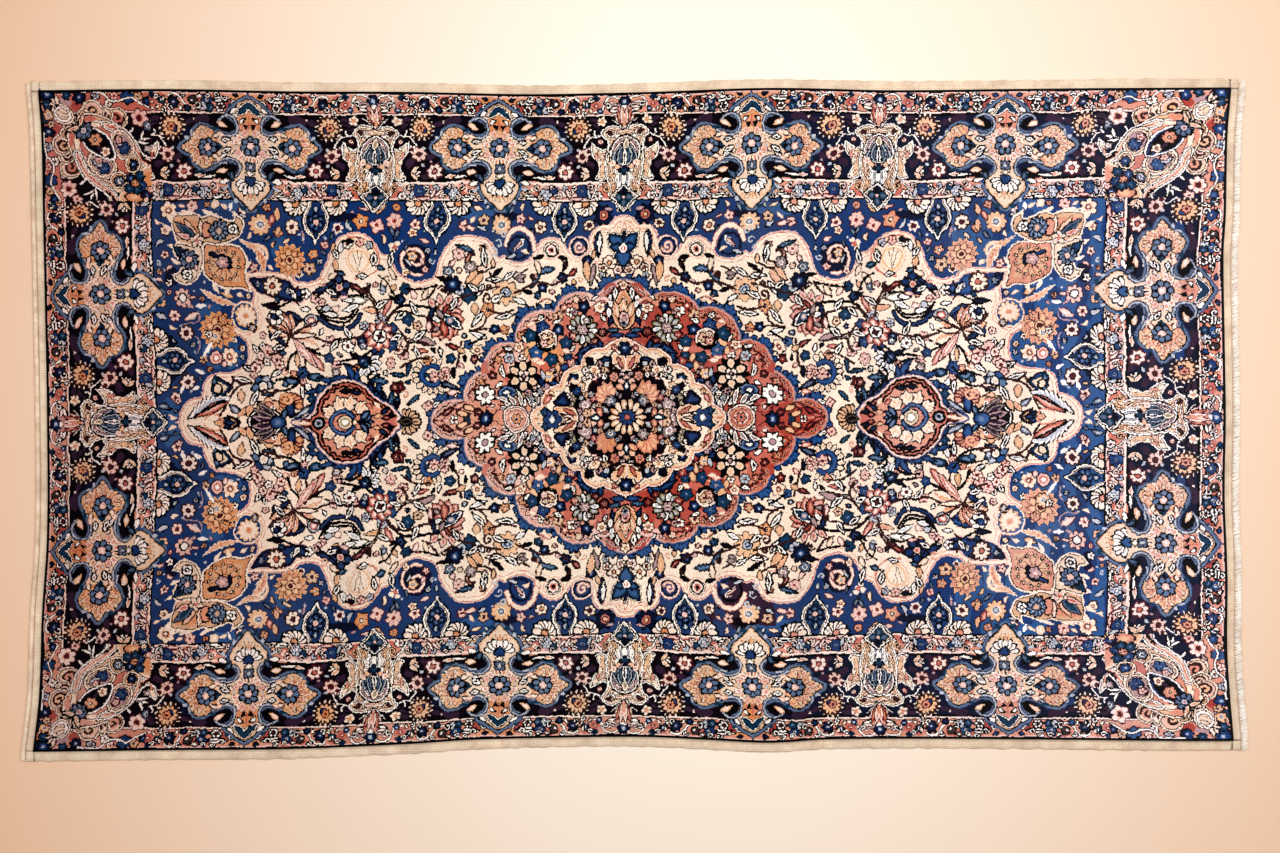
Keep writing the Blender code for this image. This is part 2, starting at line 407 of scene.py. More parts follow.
def outerGuard(chart):
    # blots of deeper and paler dye under the flowers
    draw(chart, """oval {} {} {} {} 0 | 0 {} @ 205 551 22 12.1 orange, 180 546 16 8.8 red,
      128 556 16 8.8 rose, 60 560 12 6.6 rose, 78 538 9 4.95 orange, 20 548 12 6.6 mauve,
      150 563 14 7.7 rose, 100 541 8 4.4 orange""")
    bar(chart, 564, 566.5, "pink")
    bar(chart, 530, 534, "blush")
    # the cream scroll that rises and falls between the flowers
    draw(chart, """ribbon 7 557 13 563 25 564 34 558 37 549 41 541 51 538 60 540 | 2.6 ivory ink
    curl 22 553 7.5 .8 190 | 2.4 ink 1.1 blush
    flower 0 555 10 6 | ink navy blue royal ice -
    disc 2 545 3 | 0 ivory
    leaf 12 546 16 4 -12 | 1.1 ink 0 blush
    leaf 12 538 16 4 8 | 1.1 ink 0 ivory
    flower 50 549 10 5 | mauve rose - red wine pink | turn 90
    leaf 50 557 10 11 90 | 1 ink 0 teal -2.4 navy
    disc 43 540 4 | 1 ink 0 blue -2 ice
    flower 68 552 6.5 5 | ink teal - ivory blue -
    leaf {} {} 8 4 {} | 1 ink 0 cream @ 62 543 226, 74 546 262, 72 558 256, 64 560 232
    ribbon 80 558 86 563 95 562 103 556 109 547 118 541 130 539 | 2.8 ivory ink
    flower 89 548 10 7 | ink navy ink blue violet ice
    flower 113 539 5 5 | ink navy - blue - -
    flower 123 554 7 5 | ink olive ink teal wine -
    disc 121 553 2 | 0 ivory
    flower 147 554 9 6 | ink blue ink teal ice wine
    flower 138 543 7 5 | ink ice ink ivory teal -
    flower 151 541 6.5 5 | ink teal - navy sky -
    leaf 160 {} {} 4.4 -4 | 1.2 ink 0 ivory @ 557 30, 552 24
    curl {} {} {} .9 {} | 1.7 ink .8 ivory @ 30 548 6 40, 58 560 5 200, 84 540 6 100, 106 560 5 20,
      130 546 6 250, 164 562 5 0, 180 556 6 160, 196 546 6 60, 70 536 5 300, 150 562 5 200
    daisy 170 541 7.5 6 | ivory ink wine""")


def innerGuard(chart):
    draw(chart, """oval {} {} {} {} 0 | 0 {} @ 14 400 34 17 salmon, 24 396 22 11 rose, 115 392 16 8 salmon,
      165 408 20 10 salmon, 88 408 14 7 rose, 182 390 14 7 apricot, 60 388 12 6 mauve, 40 404 9 4.5 salmon,
      150 392 12 6 rose, 128 406 12 6 mauve, 200 404 10 5 rose""")
    bar(chart, 411, 415, "blush")
    bar(chart, 382.5, 385, "blush")
    draw(chart, """curl 34 404 9 1.3 100 | 2.2 salmon 1 orange
    curl 34 404 7 1.2 150 | .8 brown
    ribbon 40 411 48 405 53 397 58 389 66 386 | 2.2 ivory ink
    flower 47 390 7 6 | ink ivory ink pink violet -
    flower 76 399 11 6 | ink blue ink navy sky violet
    leaf 62 386 16 5 76 | 1.1 ink 0 ice
    leaf 74 386 24 4 2 | 1.1 wine 0 pink
    flower 106 405 5 5 | ink ice - sky - -
    leaf {} {} 18 4.6 {} | 1.2 wine 0 blush @ 96 388 60, 104 390 44, 112 388 58
    flower 126 401 6.5 5 | ink teal - blue - -
    flower 138 394 10 6 | ink ice ink royal ivory teal
    leaf 152 {} {} 4 3 | 1.2 ink 0 ivory @ 388 26, 384.5 20
    disc 158 401 5 | 1 rose 0 blush -2.5 orange
    curl {} {} {} .9 {} | 1.7 ink .8 {} @ 60 404 6 40 blush, 90 406 5 200 ivory, 96 398 5 100 blush,
      120 390 5 20 blush, 152 406 6 250 blush, 168 396 6 0 blush, 148 390 5 160 blush, 184 400 6 60 blush,
      180 388 5 300 blush, 128 408 4 200 blush, 196 394 6 120 blush""")


def borderFlowers(chart):
    # the sprays on the dark ground between vase and cartouche
    draw(chart, """stem 72 464 73 474 66 485 60 492 50 493 40 497 | 1.1 ivory
    stem 60 492 66 495 73 494 | 1.1 blush
    stem 50 494 54 499 52 506 | 1.1 ivory
    stem 57 438 66 450 72 460 | 1.2 violet
    stem 120 519 126 521 138 524 150 522 | 2.6 violet 1 mauve
    leaf 118 523 9 4 -40 | 0 blush
    oval {} {} {} {} 20 | 0 {} @ 110 500 12 7.2 navy, 136 520 16 9.6 violet, 112 444 13 7.8 navy,
      96 458 9 5.4 violet, 54 522 8 4.8 violet, 60 446 9 5.4 violet, 88 424 8 4.8 violet,
      112 516 8 4.8 violet
    daisy 82 508 24 16 | cream - blue | turn 8 fat .72
    daisy 82 508 17 12 | apricot brown wine | turn -5 fat .95
    disc 85 504 5 | 1.2 ink 0 blue -3 navy
    flower 80 508 7 6 | wine orange - rose wine -
    daisy 39 520 9 5 | cream - orange | turn 30 fat .9
    leaf 46 517 9 4 -20 | 0 mauve
    daisy 76 461 12 7 | pink brown wine | turn 12 fat .95
    daisy 64 469 7 5 | blush - wine | turn 40 fat .9
    daisy 104 433 13 7 | blush wine rose | turn 20 fat .9
    leaf 63 430 17 7 {} | 1 ink 0 {} | rib orange @ -22 cream, 8 ivory, 40 cream, -50 sand
    leaf 80 445 8 5 -35 | 0 ice
    leaf 122 424 26 6 -4 | 1 ink 0 blush -1.6 orange
    leaf 138 421 24 4 6 | 1 ink 0 ivory
    disc 84 472 2.4 | 0 ice
    disc 96 450 2.4 | 0 mauve""")


def cartouche(chart, place):
    # half of the tan cartouche, to the left of its own middle
    at = lambda x, y: (place[0] + x, place[1] + y)
    body = [at(*p) for p in (
        (-121, -1), (-111, 8), (-101, 17), (-97, 28), (-87, 35), (-75, 34), (-62, 27), (-50, 20), (-36, 18),
        (-25, 22), (-20, 32), (-20, 44), (-27, 50), (-34, 54), (-33, 59), (-25, 63), (-18, 70), (-9, 76),
        (0, 80), (14, 77), (14, -98), (0, -110), (-9, -102), (-20, -91), (-30, -80), (-34, -69), (-31, -60),
        (-24, -54), (-17, -46), (-15, -36), (-22, -27), (-42, -22), (-56, -27), (-67, -34), (-80, -38),
        (-91, -34), (-98, -25), (-101, -14), (-111, -9))]
    patch(chart, body, (8.0, "navy"), (6.6, "slate"), (4.6, "sky"), (2.4, "slate"), (1.2, "ink"),
          (0.0, "tan"), (-2.4, "sand"))
    # light and dark flecks in the blue band
    pools(chart, "".join("%g %g %s," % (*at(x, y), rest) for x, y, rest in (
        (-62, 32, "9 2 teal"), (-112, 15, "4 3 ice"), (-88, -43, "9 2 teal"), (-50, -30, "9 2 ice"),
        (-106, -22, "2 6 teal"),
        (-103, 24, "2 6 ice"), (-32, 70, "4 3 teal"), (-38, -66, "2 8 royal"), (-14, -106, "6 4 teal"),
        (-26, -94, "3 4 ice")))[:-1])
    # hooks of the blue band, each round an orange drop
    draw(chart, """oval -39 38 16 9 -28 | 0 ink
    stem -62 27 -48 20 -34 18 -24 23 -20 34 -24 47 -34 53 -46 51 -54 44 | 3.4 ink 2.2 slate .9 ice
    leaf -56 43 21 9 -28 | .6 brown 0 apricot -2 blush
    oval -43 -49 16 9 8 | 0 ink
    stem -66 -32 -52 -25 -36 -22 -22 -28 -17 -40 -22 -50 -32 -54 -39 -48 | 3.4 ink 2.2 slate .9 ice
    leaf -60 -44 21 9 8 | .6 brown 0 apricot -2 blush
    leaf -37 -46 16 9 -62 | 1 ink 0 teal -2.4 slate
    leaf -54 -64 18 7 14 | .9 ink 0 ivory
    leaf -50 -76 14 5 30 | .6 ink 0 ice
    # the orange neck, and the dark chevron of leaves over it
    patch -15 25 -17 44 -20 52 -10 60 0 66 12 58 16 44 15 25 | 0 orange""", place)
    for x in (-12, -6, 0):
        stem(chart, [at(x * 0.8, 28), at(x, 40), at(x * 1.3, 52 + x * 0.3)], (0.7, "salmon" if x else "rose"))
    draw(chart, """leaf 2 76 33 10 -134 | 3 ink 1.8 ivory .3 night -1.8 teal | bend 2
    leaf -32 57 14 6 35 | .9 ink 0 ivory
    # the side lobe: orange petals, drawn in thin lines, round a blue flower
    patch -116 -1 -106 8 -97 17 -93 27 -85 31 -74 30 -64 24 -57 12 -55 0 -58 -14 -65 -28 -79 -34 -88 -30
      -94 -21 -106 -9 | 0 orange -4 apricot""", place)
    for turn, reach, size in listed("""180 28 11, 156 24 9, 128 26 9, 100 24 8, 204 24 9, 232 27 9,
        260 24 8"""):
        tilt = math.radians(turn)
        for side in (-1, 1):
            petal = at(-76 + reach * math.cos(tilt) - 3 * side * math.sin(tilt),
                       -1 + reach * math.sin(tilt) + 3 * side * math.cos(tilt))
            oval(chart, petal, (size, size * 0.42), turn + 10 * side, (0.55, "brown"),
                 (0.0, "sand" if side > 0 else "apricot"), (-2.0, "salmon" if side > 0 else "orange"))
    draw(chart, """leaf -75 -1 8 6 {} | .5 wine 0 rose -1.4 apricot | out 15 @ 168, 140, 112, 192, 218, 246
    leaf -72 -1 22 17 0 | 1 ink 0 teal -3.6 blue | fat .8
    oval -75 -1 5.6 4.6 {} | 1.2 ink 0 slate -1.4 sky | out 10.5 @ every 7 26
    disc -75 -1 6 | .9 ink 0 pink -3 blush
    leaf -62 -2 9 6 0 | 0 ink
    leaf {} {} {} {} {} | {} @ -66 18 14 7 10 line, -68 -16 15 7.5 -14 line, -51 -19 13 6.5 24 dark,
      -49 -11 17 8.5 26 dark, -50 11 15 7.5 0 dark, -34 -14 12 6 60 line, -56 22 12 6 -20 loop,
      -60 -24 12 6 20 loop
    # petals in thin lines round the middle flower
    oval 0 0 7 5 {} | .55 brown 0 {} -2.6 {} | out {} @ 112 pink salmon 25, 140 cream salmon 24,
      164 blush salmon 25, 186 apricot ice 26, 208 pink salmon 25, 232 blush salmon 25,
      256 cream salmon 25, 88 apricot salmon 25
    oval 0 0 5.8 4.8 {} | 1.2 ink 0 slate -1.4 sky | out 11.2 @ every 7 90
    disc 0 0 6.4 | .9 ink 0 pink -3 blush
    # foot: a dark blossom, a navy heart and a fan of ivory petals
    flower 0 -36 9 5 | ink slate ink ink ice - | depth .4
    leaf 0 -44 9 13 -90 | .9 ink 0 sage -2.6 ivory""", place)
    for turn in (186, 214, 242, 270, 298, 326, 354):
        tilt = math.radians(turn)
        oval(chart, at(15 * math.cos(tilt), -63 + 13 * math.sin(tilt)), (8.6, 4.8), turn, (0.9, "ink"),
             (0.0, "ivory"), (-3.0, "blush"))
    draw(chart, """patch -8 -58 -4 -54 0 -57 4 -54 8 -58 0 -69 | 1 ink 0 blue
    leaf 0 -80 14 7 -90 | .5 wine 0 apricot -2 orange
    leaf {} -82 12 4 {} | .5 wine 0 apricot @ -6 -104, -18 -60""", place)


def vase(chart, place):
    # the right half of a footed vase of nested ribs, about its own middle
    at = lambda x, y: (place[0] + x, place[1] + y)
    draw(chart, """leaf {} {} 18 6 {} | 1.2 ink 0 violet @ 34 30 8, 44 34 30, 40 -8 40
    # the wing: a pointed leaf that hangs from the shoulder, in cream with wavy dark lines
    patch 28 0 37 -4 45 0 52 4 58 9 59 -4 54 -16 45 -24 43 -34 48 -46 52 -54 40 -57 31 -50 27 -24
      | 2 ink .6 ivory -1.6 ink -2.8 cream -5 brown -6.2 apricot -8.4 wine -9.4 blush
    patch -12 36 10 36 18 38 28 37 38 30 41 22 34 15 30 4 31 -14 33 -34 30 -52 27 -64 31 -76 26 -84 18 -96
      0 -112 -18 -96 -30 -40 | 2 ink .6 ivory -1.6 ink -2.8 cream -5 brown -6.2 apricot -8 ink -9.2 blush
      -11.4 brown -12.4 apricot -14.6 ink -15.8 ivory
    curl 25 25 9 .9 160 | 1.9 ink .9 ivory
    curl 26 24 5 .9 20 | 1.2 brown
    leaf {} {} 14 5 {} | .6 wine 0 {} @ 54 2 245 cream, 50 -9 256 salmon, 45 -20 262 cream,
      40 -30 268 apricot, 44 -42 280 cream
    curl 34 -70 8 1.1 80 | 2 ink 1 apricot
    # the arch over the teal petals
    oval 0 -10 29 25 90 | 1.4 ink 0 ivory -1.8 ink -3 mauve -5 ink -6.4 blush
    leaf {} -30 36 12 {} | 1 ink 0 ice -1.5 ink -2.4 teal -4.2 slate @ 17 104, -17 76, 8 96, -8 84
    leaf 0 -34 34 7 90 | .9 ink 0 ivory -1.8 navy
    leaf 0 -2 18 11 90 | 1 ink 0 cream -2.8 sage
    disc {} -27 5 | .6 wine 0 blush -3 orange & disc {} -33 4 | .6 brown 0 apricot @ -19 -12, 19 12
    flower 0 -40 8 4 | ink navy ink teal teal - | depth .5""", place)
    for x, yarn in listed("""5 ice, -5 ice, 12 ivory, -12 ivory, 19 apricot, -19 apricot"""):
        stem(chart, [at(x, -44), at(x * 1.25, -54), at(x * 0.9, -64), at(x * 1.1, -76)], (1.9, "ink"),
             (0.9, yarn))
    # the tulip that stands in the neck
    draw(chart, """leaf 0 32 {} 8 {} | 1.1 wine 0 {} -1.8 {} @ 28 124 cream apricot, 28 56 cream apricot,
      35 110 rose apricot, 35 70 rose apricot, 38 97 blush salmon, 38 83 blush salmon
    disc 0 40 3 | .6 ink 0 orange""", place)
    for swing in (-12, 12):
        stem(chart, [at(swing * 0.3, 32), at(swing, 42), at(swing * 1.9, 50)], (1.4, "ink"), (0.6, "ivory"))
    # the small diamond under it
    draw(chart, """patch 0 -66 8 -72 15 -77 24 -86 15 -93 9 -101 0 -112 -9 -101 -15 -93 -24 -86 -15 -77 -8
      -72 | 1.8 ink .4 ivory -1.6 ink -2.8 cream
    leaf 0 -87 17 13 {} | 1.1 ink 0 {} -3.4 {} | fat 1.3 @ 90 navy ink, 0 teal slate, 180 teal slate,
      -90 teal slate
    disc 0 -87 3 | .5 ink 0 pink""", place)


def drawBorderRun():
    run = newChart(0.0, plan["repeat"], 360.0, plan["halfWidth"], None)
    borderStripes(run)
    outerGuard(run)
    innerGuard(run)
    borderFlowers(run)
    vase(run, (0.0, 474.0))
    cartouche(run, (plan["repeat"], 474.0))
    fillGaps(run, ("night",), (8, 6, 4.6), blueLeaves, blueBlooms, "slate", seed=4)
    fillGaps(run, ("salmon", "rose", "orange", "red", "pink", "mauve"), (6, 4.8, 3.8), guardLeaves,
             roseBlooms, "ink", seed=6)
    return run


# the field, one quarter of it
# x, y and bulge of each lobe, from the top round to the side
medallionEdge = list(listed("""0 243 .2, 51 212 .5, 127 189 .55, 196 133 .56, 252 84 .42, 291 31 .5,
    352 0 0, 0 -20 0, -20 243 0"""))
ringEdge = list(listed("""0 138 .1, 39 119 .5, 80 91 .5, 115 59 .5, 149 22 .4, 170 0 0, 0 -20 0,
    -20 138 0"""))
darkEdge = list(listed("""0 80 .2, 26 84 .2, 28 104 .1, 50 99 .1, 44 84 .1, 47 70 .2, 62 62 .1, 66 48 .2,
    88 34 .1, 92 0 0, 0 -20 0, -20 80 0"""))


def squiggle(chart, path, inset, wave, *bands):
    # a thin line that wanders back and forth beside a lobe's edge
    path = np.asarray(path)
    along = np.concatenate([[0], np.cumsum(np.hypot(*np.diff(path, axis=0).T))])
    steps = np.arange(0, along[-1], 1.6)
    x, y = np.interp(steps, along, path[:, 0]), np.interp(steps, along, path[:, 1])
    dx, dy = np.gradient(x), np.gradient(y)
    size = np.hypot(dx, dy)
    swing = inset + wave * np.sin(steps / 2.6) * (0.6 + 0.4 * np.sin(steps / 9.1))
    line = np.stack([x + dy / size * swing, y - dx / size * swing], 1)
    knots, distance = lineDistance(chart, line, 4, False)
    tie(knots, bands, distance)


def scallopOnly(a, b, step=2.5):
    (ax, ay, bulge), (bx, by, _) = a, b
    chord = math.hypot(bx - ax, by - ay)
    t = np.linspace(0, 1, max(3, int(chord / step)))
    lift = bulge * chord / 2 * (1 - (2 * t - 1) ** 2) ** 0.75
    return np.stack([ax + (bx - ax) * t - (by - ay) / chord * lift,
                     ay + (by - ay) * t + (bx - ax) / chord * lift], 1)


def fringe(chart, rows):
    # a jagged blue band outside a scalloped edge, with a taller blossom on each lobe
    for a, b in zip(rows, rows[1:]):
        path = scallopOnly(a, b)
        heading = np.degrees(np.arctan2(*np.gradient(path, axis=0).T[::-1])) + 90
        middle = len(path) // 2
        for bands in (((1.5, "ink"),), ((0.0, "blue"), (-1.7, "royal"))):
            for i in range(1, len(path) - 1, 4):
                leaf(chart, path[i], 13, 8, heading[i] - (58 if i < middle else -58), *bands, fat=1.2)
            for swing in (-42, 0, 42):
                leaf(chart, path[middle], 17, 9, heading[middle] + swing, *bands, fat=1.2)


def starFlower(chart, place, radius, petals, petal, ground, line="ink"):
    # tan petals round a chequered heart on a dark star
    for i in range(petals):
        leaf(chart, place, radius * 1.15, radius * 0.7, 360 / petals * i, (0.0, ground), fat=0.6)
    for i in range(petals):
        turn = math.radians(360 / petals * i + 90)
        x = place[0] + radius * 0.6 * math.cos(turn)
        y = place[1] + radius * 0.6 * math.sin(turn)
        oval(chart, (x, y), (radius * 0.26, radius * 0.19), math.degrees(turn), (1.8, line), (0.0, petal),
             (-3.0, "apricot"))
    daisy(chart, place, radius * 0.34, 4, "blush", line, "mauve", turn=45)


def medallionCentre(chart):
    patch(chart, scalloped(ringEdge), (3.6, "night"), (1.6, "blush"), (-1.0, "rose"), (-2.2, "apricot"),
          (-4.6, "sand"),
          (-8.4, "brown"), (-9.2, "cream"), smooth=False)
    patch(chart, scalloped(darkEdge), (1.4, "brown"), (0.0, "ink"), (-3.0, "night"), smooth=False)
    # the dark heart: a rosette of many petals, and the leaves and drops that ring it
    draw(chart, """leaves 30 10 20 10 20 slate, 10 31 16 8 70 grey, 30 104 20 9 -24 navy,
      40 66 14 8 84 dark 3""")
    for i in range(14):
        tilt = math.radians(360 / 14 * i)
        oval(chart, (22 * math.cos(tilt), 22 * math.sin(tilt)), (9.5, 4.6), 360 / 14 * i,
             (1.2, "ink"), (0.0, ("apricot", "orange", "sand", "tan")[i % 4]), (-2.4, "cream"))
    draw(chart, """flower 0 0 14 8 | ink blue ink navy red rose | turn 22""")
    spray = ((-6, 22), (22, 27), (46, 31), (72, 31), (96, 29), (122, 22))
    for bands in (((3.0, "ink"),), ((0.0, "salmon"), (-1.8, "rose"), (-3.2, "orange"))):
        for turn, length in spray:
            leaf(chart, (31, 34), length, 14, turn, *bands, fat=1.3)
    draw(chart, """oval 0 46 7.5 5 {} | 1.4 ink 0 {} -2.6 apricot | out {} @ 148 salmon 12, 120 pink 18,
      90 grey 24, 60 pink 18, 32 salmon 12, 174 rose 9
    leaf 0 46 19 9 90 | 1.8 ink 0 teal -2.2 ivory
    oval 46 0 7.5 5 {} | 1.4 ink 0 {} -2.6 apricot | out {} @ 58 salmon 12, 30 pink 18, 0 grey 24,
      -30 pink 18, -58 salmon 12, 84 rose 9
    leaf 46 0 19 9 0 | 1.8 ink 0 teal -2.2 ivory
    blossoms 28 29 9 6 slate, 62 43 5 5 ice, 22 72 8 6 salmon, 7 80 7 5 grey, 73 23 13 6 grey,
      70 8 8 5 tan, 82 2 7 5 grey, 56 20 6 5 slate, 84 12 6 5 mauve, 58 34 5 5 rose, 48 22 5 5 tan,
      72 42 6 5 tan, 80 36 5 5 slate, 48 74 6 5 grey, 16 40 4 5 ice
    # petals and blossoms on the cream ring round it
    patch {} {} {} {} {} {} {} {} {} {} {} {} {} {} {} {} | 1.8 ink 0 blush -1.8 orange -4.6 apricot
      @ 1 82 14 84 23 94 26 108 18 113 12 106 4 108 0 98, 87 0 90 14 100 22 116 25 128 20 122 12 110 11 98 0
    leaves 6 86 20 5 62 rose, 92 6 24 5 34 rose, 10 84 14 4 40 line, 96 3 20 4 14 line
    blossoms 0 119 12 6 navy, 20 121 5 5 rose, 37 84 7 5 tan, 47 93 6 5 mauve, 56 82 10 6 cream,
      56 70 6 5 blush, 64 98 8 5 navy, 73 83 6 6 ivory, 70 73 5 5 ivory, 62 73 4 5 ivory, 76 70 4 5 ivory,
      80 57 7 5 apricot, 95 70 9 5 navy, 98 60 6 5 blush, 87 48 7 6 blue, 94 36 7 5 sage, 97 26 5 5 sage,
      103 41 5 5 ivory, 144 12 8 5 teal, 132 46 5 5 orange
    patch 31 98 39 97 38 90 31 90 | 1.5 ink 0 ice | smooth 0
    patch 110 47 116 42 127 30 116 25 101 27 105 36 | 1.6 ink 0 navy -3.6 blue
    leaves 72 104 14 7 212 ink, 98 50 20 8 112 ink, 134 42 18 8 -52 rose, 84 62 16 6 20 cream
    flower 132 1 16 6 | ink blue ink navy ice ivory | depth .34""")


def medallionBody(chart):
    edge = scalloped(medallionEdge)
    fringe(chart, medallionEdge[:7])
    patch(chart, edge, (3.9, "ink"), (3.2, "blue"), (1.2, "slate"), (0.2, "mauve"), (-1.4, "pink"),
          (-3.2, "rose"), smooth=False)
    # pools of other reds
    draw(chart, """pools 22 222 14 14 red, 95 200 22 12 salmon, 90 178 20 12 salmon, 45 172 10 14 red,
      135 172 22 10 salmon, 104 160 8 24 red, 165 160 18 18 pink, 178 150 10 20 salmon, 38 140 18 10 red,
      135 92 18 12 red, 200 100 30 22 pink, 228 92 18 18 salmon, 90 100 10 10 red, 150 125 26 16 apricot,
      130 118 20 10 orange, 232 60 22 20 salmon, 165 40 16 16 pink, 185 45 14 12 apricot,
      255 40 22 16 salmon, 60 205 12 10 pink, 62 130 12 8 pink, 246 88 12 14 red, 215 122 26 7 salmon,
      88 66 8 8 mauve, 140 60 8 8 mauve, 210 72 8 10 red""")
    # two wandering lines inside each lobe
    for a, b in zip(medallionEdge[:6], medallionEdge[1:]):
        squiggle(chart, scallopOnly(a, b), 8.0, 3.2, (2.2, "pink"), (0.9, "night"))
        squiggle(chart, scallopOnly(a, b), 15.5, 3.4, (0.8, "brown"))
    # navy wedges between the ring and the rose body
    draw(chart, """leaves 84 94 34 11 100 blot, 84 94 30 11 28 blot, 60 128 34 11 -30 blot,
      117 62 32 11 118 blot, 117 62 26 11 12 blot, 150 26 30 11 112 blot, 150 24 22 11 30 blot,
      100 92 22 11 -10 blot, 118 84 28 11 -42 blot, 40 121 30 11 18 blot, 40 121 26 11 60 blot
    # ogive over the ring, on the middle line
    patch 0 226 9 214 15 203 20 184 15 164 0 154 -15 164 -20 184 -15 203 -9 214
      | 1.6 ink 0 apricot -2.6 rose -3.8 orange -7 brown -8.2 cream -11 apricot
    leaf 0 162 46 15 {} | 1 brown 0 apricot -2.4 rose -3.6 sand | fat 1.3 @ 114, 66, 90
    oval 0 172 13 8 90 | 1.4 ink 0 pink -3 wine -4.4 mauve
    disc 0 165 5 | 0 slate -2.5 ink
    leaves 14 228 22 8 -86 dark, 24 216 24 8 -84 ivory, 28 198 14 8 -60 navy, 27 192 18 8 -92 ivory,
      22 176 16 8 -72 navy, 10 152 26 8 2 teal, 2 144 26 8 -4 blue, 30 150 16 8 -20 navy,
      26 206 14 8 -110 ivory, 34 170 14 6 60 dark, 46 214 12 6 -40 dark
    ribbon 30 206 38 210 48 207 | 6 pink ink
    # the rosettes between the lobes and the ring
    oval 74 157 7.4 4.4 {} | 1.4 ink 0 {} -2 ice | out 17.5 @ 8 ivory, 38 sage, 68 sage, 98 ivory,
      128 sage, 158 sage, 188 ivory, 218 sage, 248 sage, 278 ivory, 308 sage, 338 sage
    flower 74 157 9 6 | ink mauve ink blush wine blush
    blossoms 0 232 9 5 cream, 42 193 9 6 cream, 40 150 8 5 wine, 66 172 6 5 grey, 70 195 11 5 navy,
      96 187 9 5 ivory, 87 187 6 5 mauve, 120 179 10 5 tan, 119 155 11 5 navy, 105 134 12 5 teal,
      147 162 12 5 blue, 168 147 12 5 teal, 158 118 13 5 royal, 132 105 12 5 teal, 103 107 9 5 teal,
      98 97 7 4 rose, 126 83 9 6 mauve, 182 107 7 6 ivory, 207 107 9 6 ice, 190 127 10 5 cream,
      136 76 9 6 apricot, 150 65 8 5 royal, 92 146 6 5 rose, 54 136 7 5 wine, 186 146 7 5 orange,
      150 178 6 5 ivory, 84 208 6 5 cream, 108 196 6 5 rose, 226 104 6 5 orange, 240 76 7 5 wine
    disc 140 139 18 | 1.2 ink 0 blush -3 brown -4 cream
    blossoms 136 141 9 5 tan, 146 134 8 5 pink, 144 146 5 5 cream
    stem 127 130 136 124 147 125 154 133 155 146 | 1.4 ink
    leaves 112 122 18 8 200 loop, 118 112 18 8 250 tan, 122 98 18 8 262 tan, 176 108 18 8 96 tan,
      150 104 18 8 0 loop, 160 100 18 8 180 loop, 152 60 20 10 108 navy, 144 72 16 7 70 ice,
      218 72 24 9 84 dark -3, 160 170 16 7 -20 loop, 128 168 16 7 160 dark, 176 134 14 6 60 dark,
      98 118 14 6 120 dark, 202 122 16 6 10 dark, 212 60 14 6 150 ink""")
    starFlower(chart, (182, 75), 30, 6, "sand", "ink")
    draw(chart, """oval 213 47 16 10 -6 | 1.4 ink 0 sky -2.5 blue -4.6 ink -6.4 ivory
    # grey feathers fanning over the roundel on the long axis
    leaves 158 26 26 8 78 feather 2, 168 22 30 8 66 feather 2, 178 22 32 8 52 feather 2,
      186 24 30 8 74 feather 2, 196 24 26 8 48 feather 2, 204 22 28 8 26 feather 2,
      206 14 30 8 8 feather 2, 164 12 22 8 92 feather 2, 212 30 24 8 20 feather 2, 150 40 22 8 70 feather 2
    blossoms 152 50 6 5 ice, 160 43 5 5 ivory, 167 34 5 5 ice, 174 46 6 5 mauve, 158 2 6 5 tan,
      173 3 6 5 cream
    disc 198 0 24 | 1.4 ink 0 blush -2.6 ink -3.8 pink -7 brown -8 salmon -12 blush
    flower 197 0 9 6 | brown orange brown pink ink teal""")


creamLeaves = ("ivory", "dark", "navy", "teal", "sage", "apricot", "pink", "ink", "grey", "slate", "tan",
               "dark", "teal")
creamBlooms = ("navy", "teal", "cream", "pink", "blush", "apricot", "ivory", "blue", "slate", "rose")
blueLeaves = ("mauve", "slate", "ice", "cream", "pink", "sand", "cream", "apricot")
blueBlooms = ("blush", "cream", "pink", "apricot", "tan", "ice", "cream", "orange")
roseLeaves = ("ink", "dark", "teal", "apricot", "ivory", "wine", "grey")
roseBlooms = ("navy", "ivory", "apricot", "pink", "teal", "grey")
guardLeaves = ("ink", "dark", "ink", "teal", "ivory", "navy", "wine", "ink")


def blossoms(chart, rows):
    # x, y, radius, petals and kind of each
    for x, y, radius, petals, kind in listed(rows):
        flower(chart, (x, y), radius, petals, blooms[kind], turn=3 * x + y, depth=0.3, pointed=petals < 6)


def pools(chart, rows):
    # x, y, half width, half height and yarn of each
    for x, y, wide, high, yarn in listed(rows):
        oval(chart, (x, y), (wide, high), 0, (0.0, yarn))


def daisies(chart, rows):
    for x, y, radius, petals, *yarns in listed(rows):
        daisy(chart, (x, y), radius, petals, *yarns, turn=7 * x, fat=0.95)


def leaves(chart, rows):
    # x, y, length, width, turn, kind, and how far the middle swings, of each
    for x, y, length, width, turn, kind, *bend in listed(rows):
        leaf(chart, (x, y), length, width, turn, *foliage[kind], bend=bend[0] if bend else 0,
             teeth=5 if length > 23 and kind in ("navy", "blue", "teal",
                     "blot") else 7 if kind == "plume" else 0)


# from the top of the field round to its pointed end
creamEdge = points("""0 354 14 351 23 340 36 341 49 335 57 323 59 308 68 289 82 285 94 292 99 297 105 308
    114 315 127 318 140 315 150 306 157 298 160 286 170 277 185 274 200 278 212 287 222 283 232 300 245 315
    265 321 285 321 298 318 310 305 320 290 326 276 329 262 336 248 352 241 370 239 393 249 404 266 414 284
    428 290 440 308 455 320 470 325 485 323 500 318 515 300 522 285 526 272 535 255 545 244 560 241 580 245
    597 257 640 258 672 256 668 236 656 229 652 222 655 206 652 196 648 182 652 168 664 159 680 158 690 163
    693 157 678 148 669 138 667 122 671 104 684 91 702 84 720 83 736 78 746 66 751 50 752 42 766 39 780 32
    790 18 795 0""")


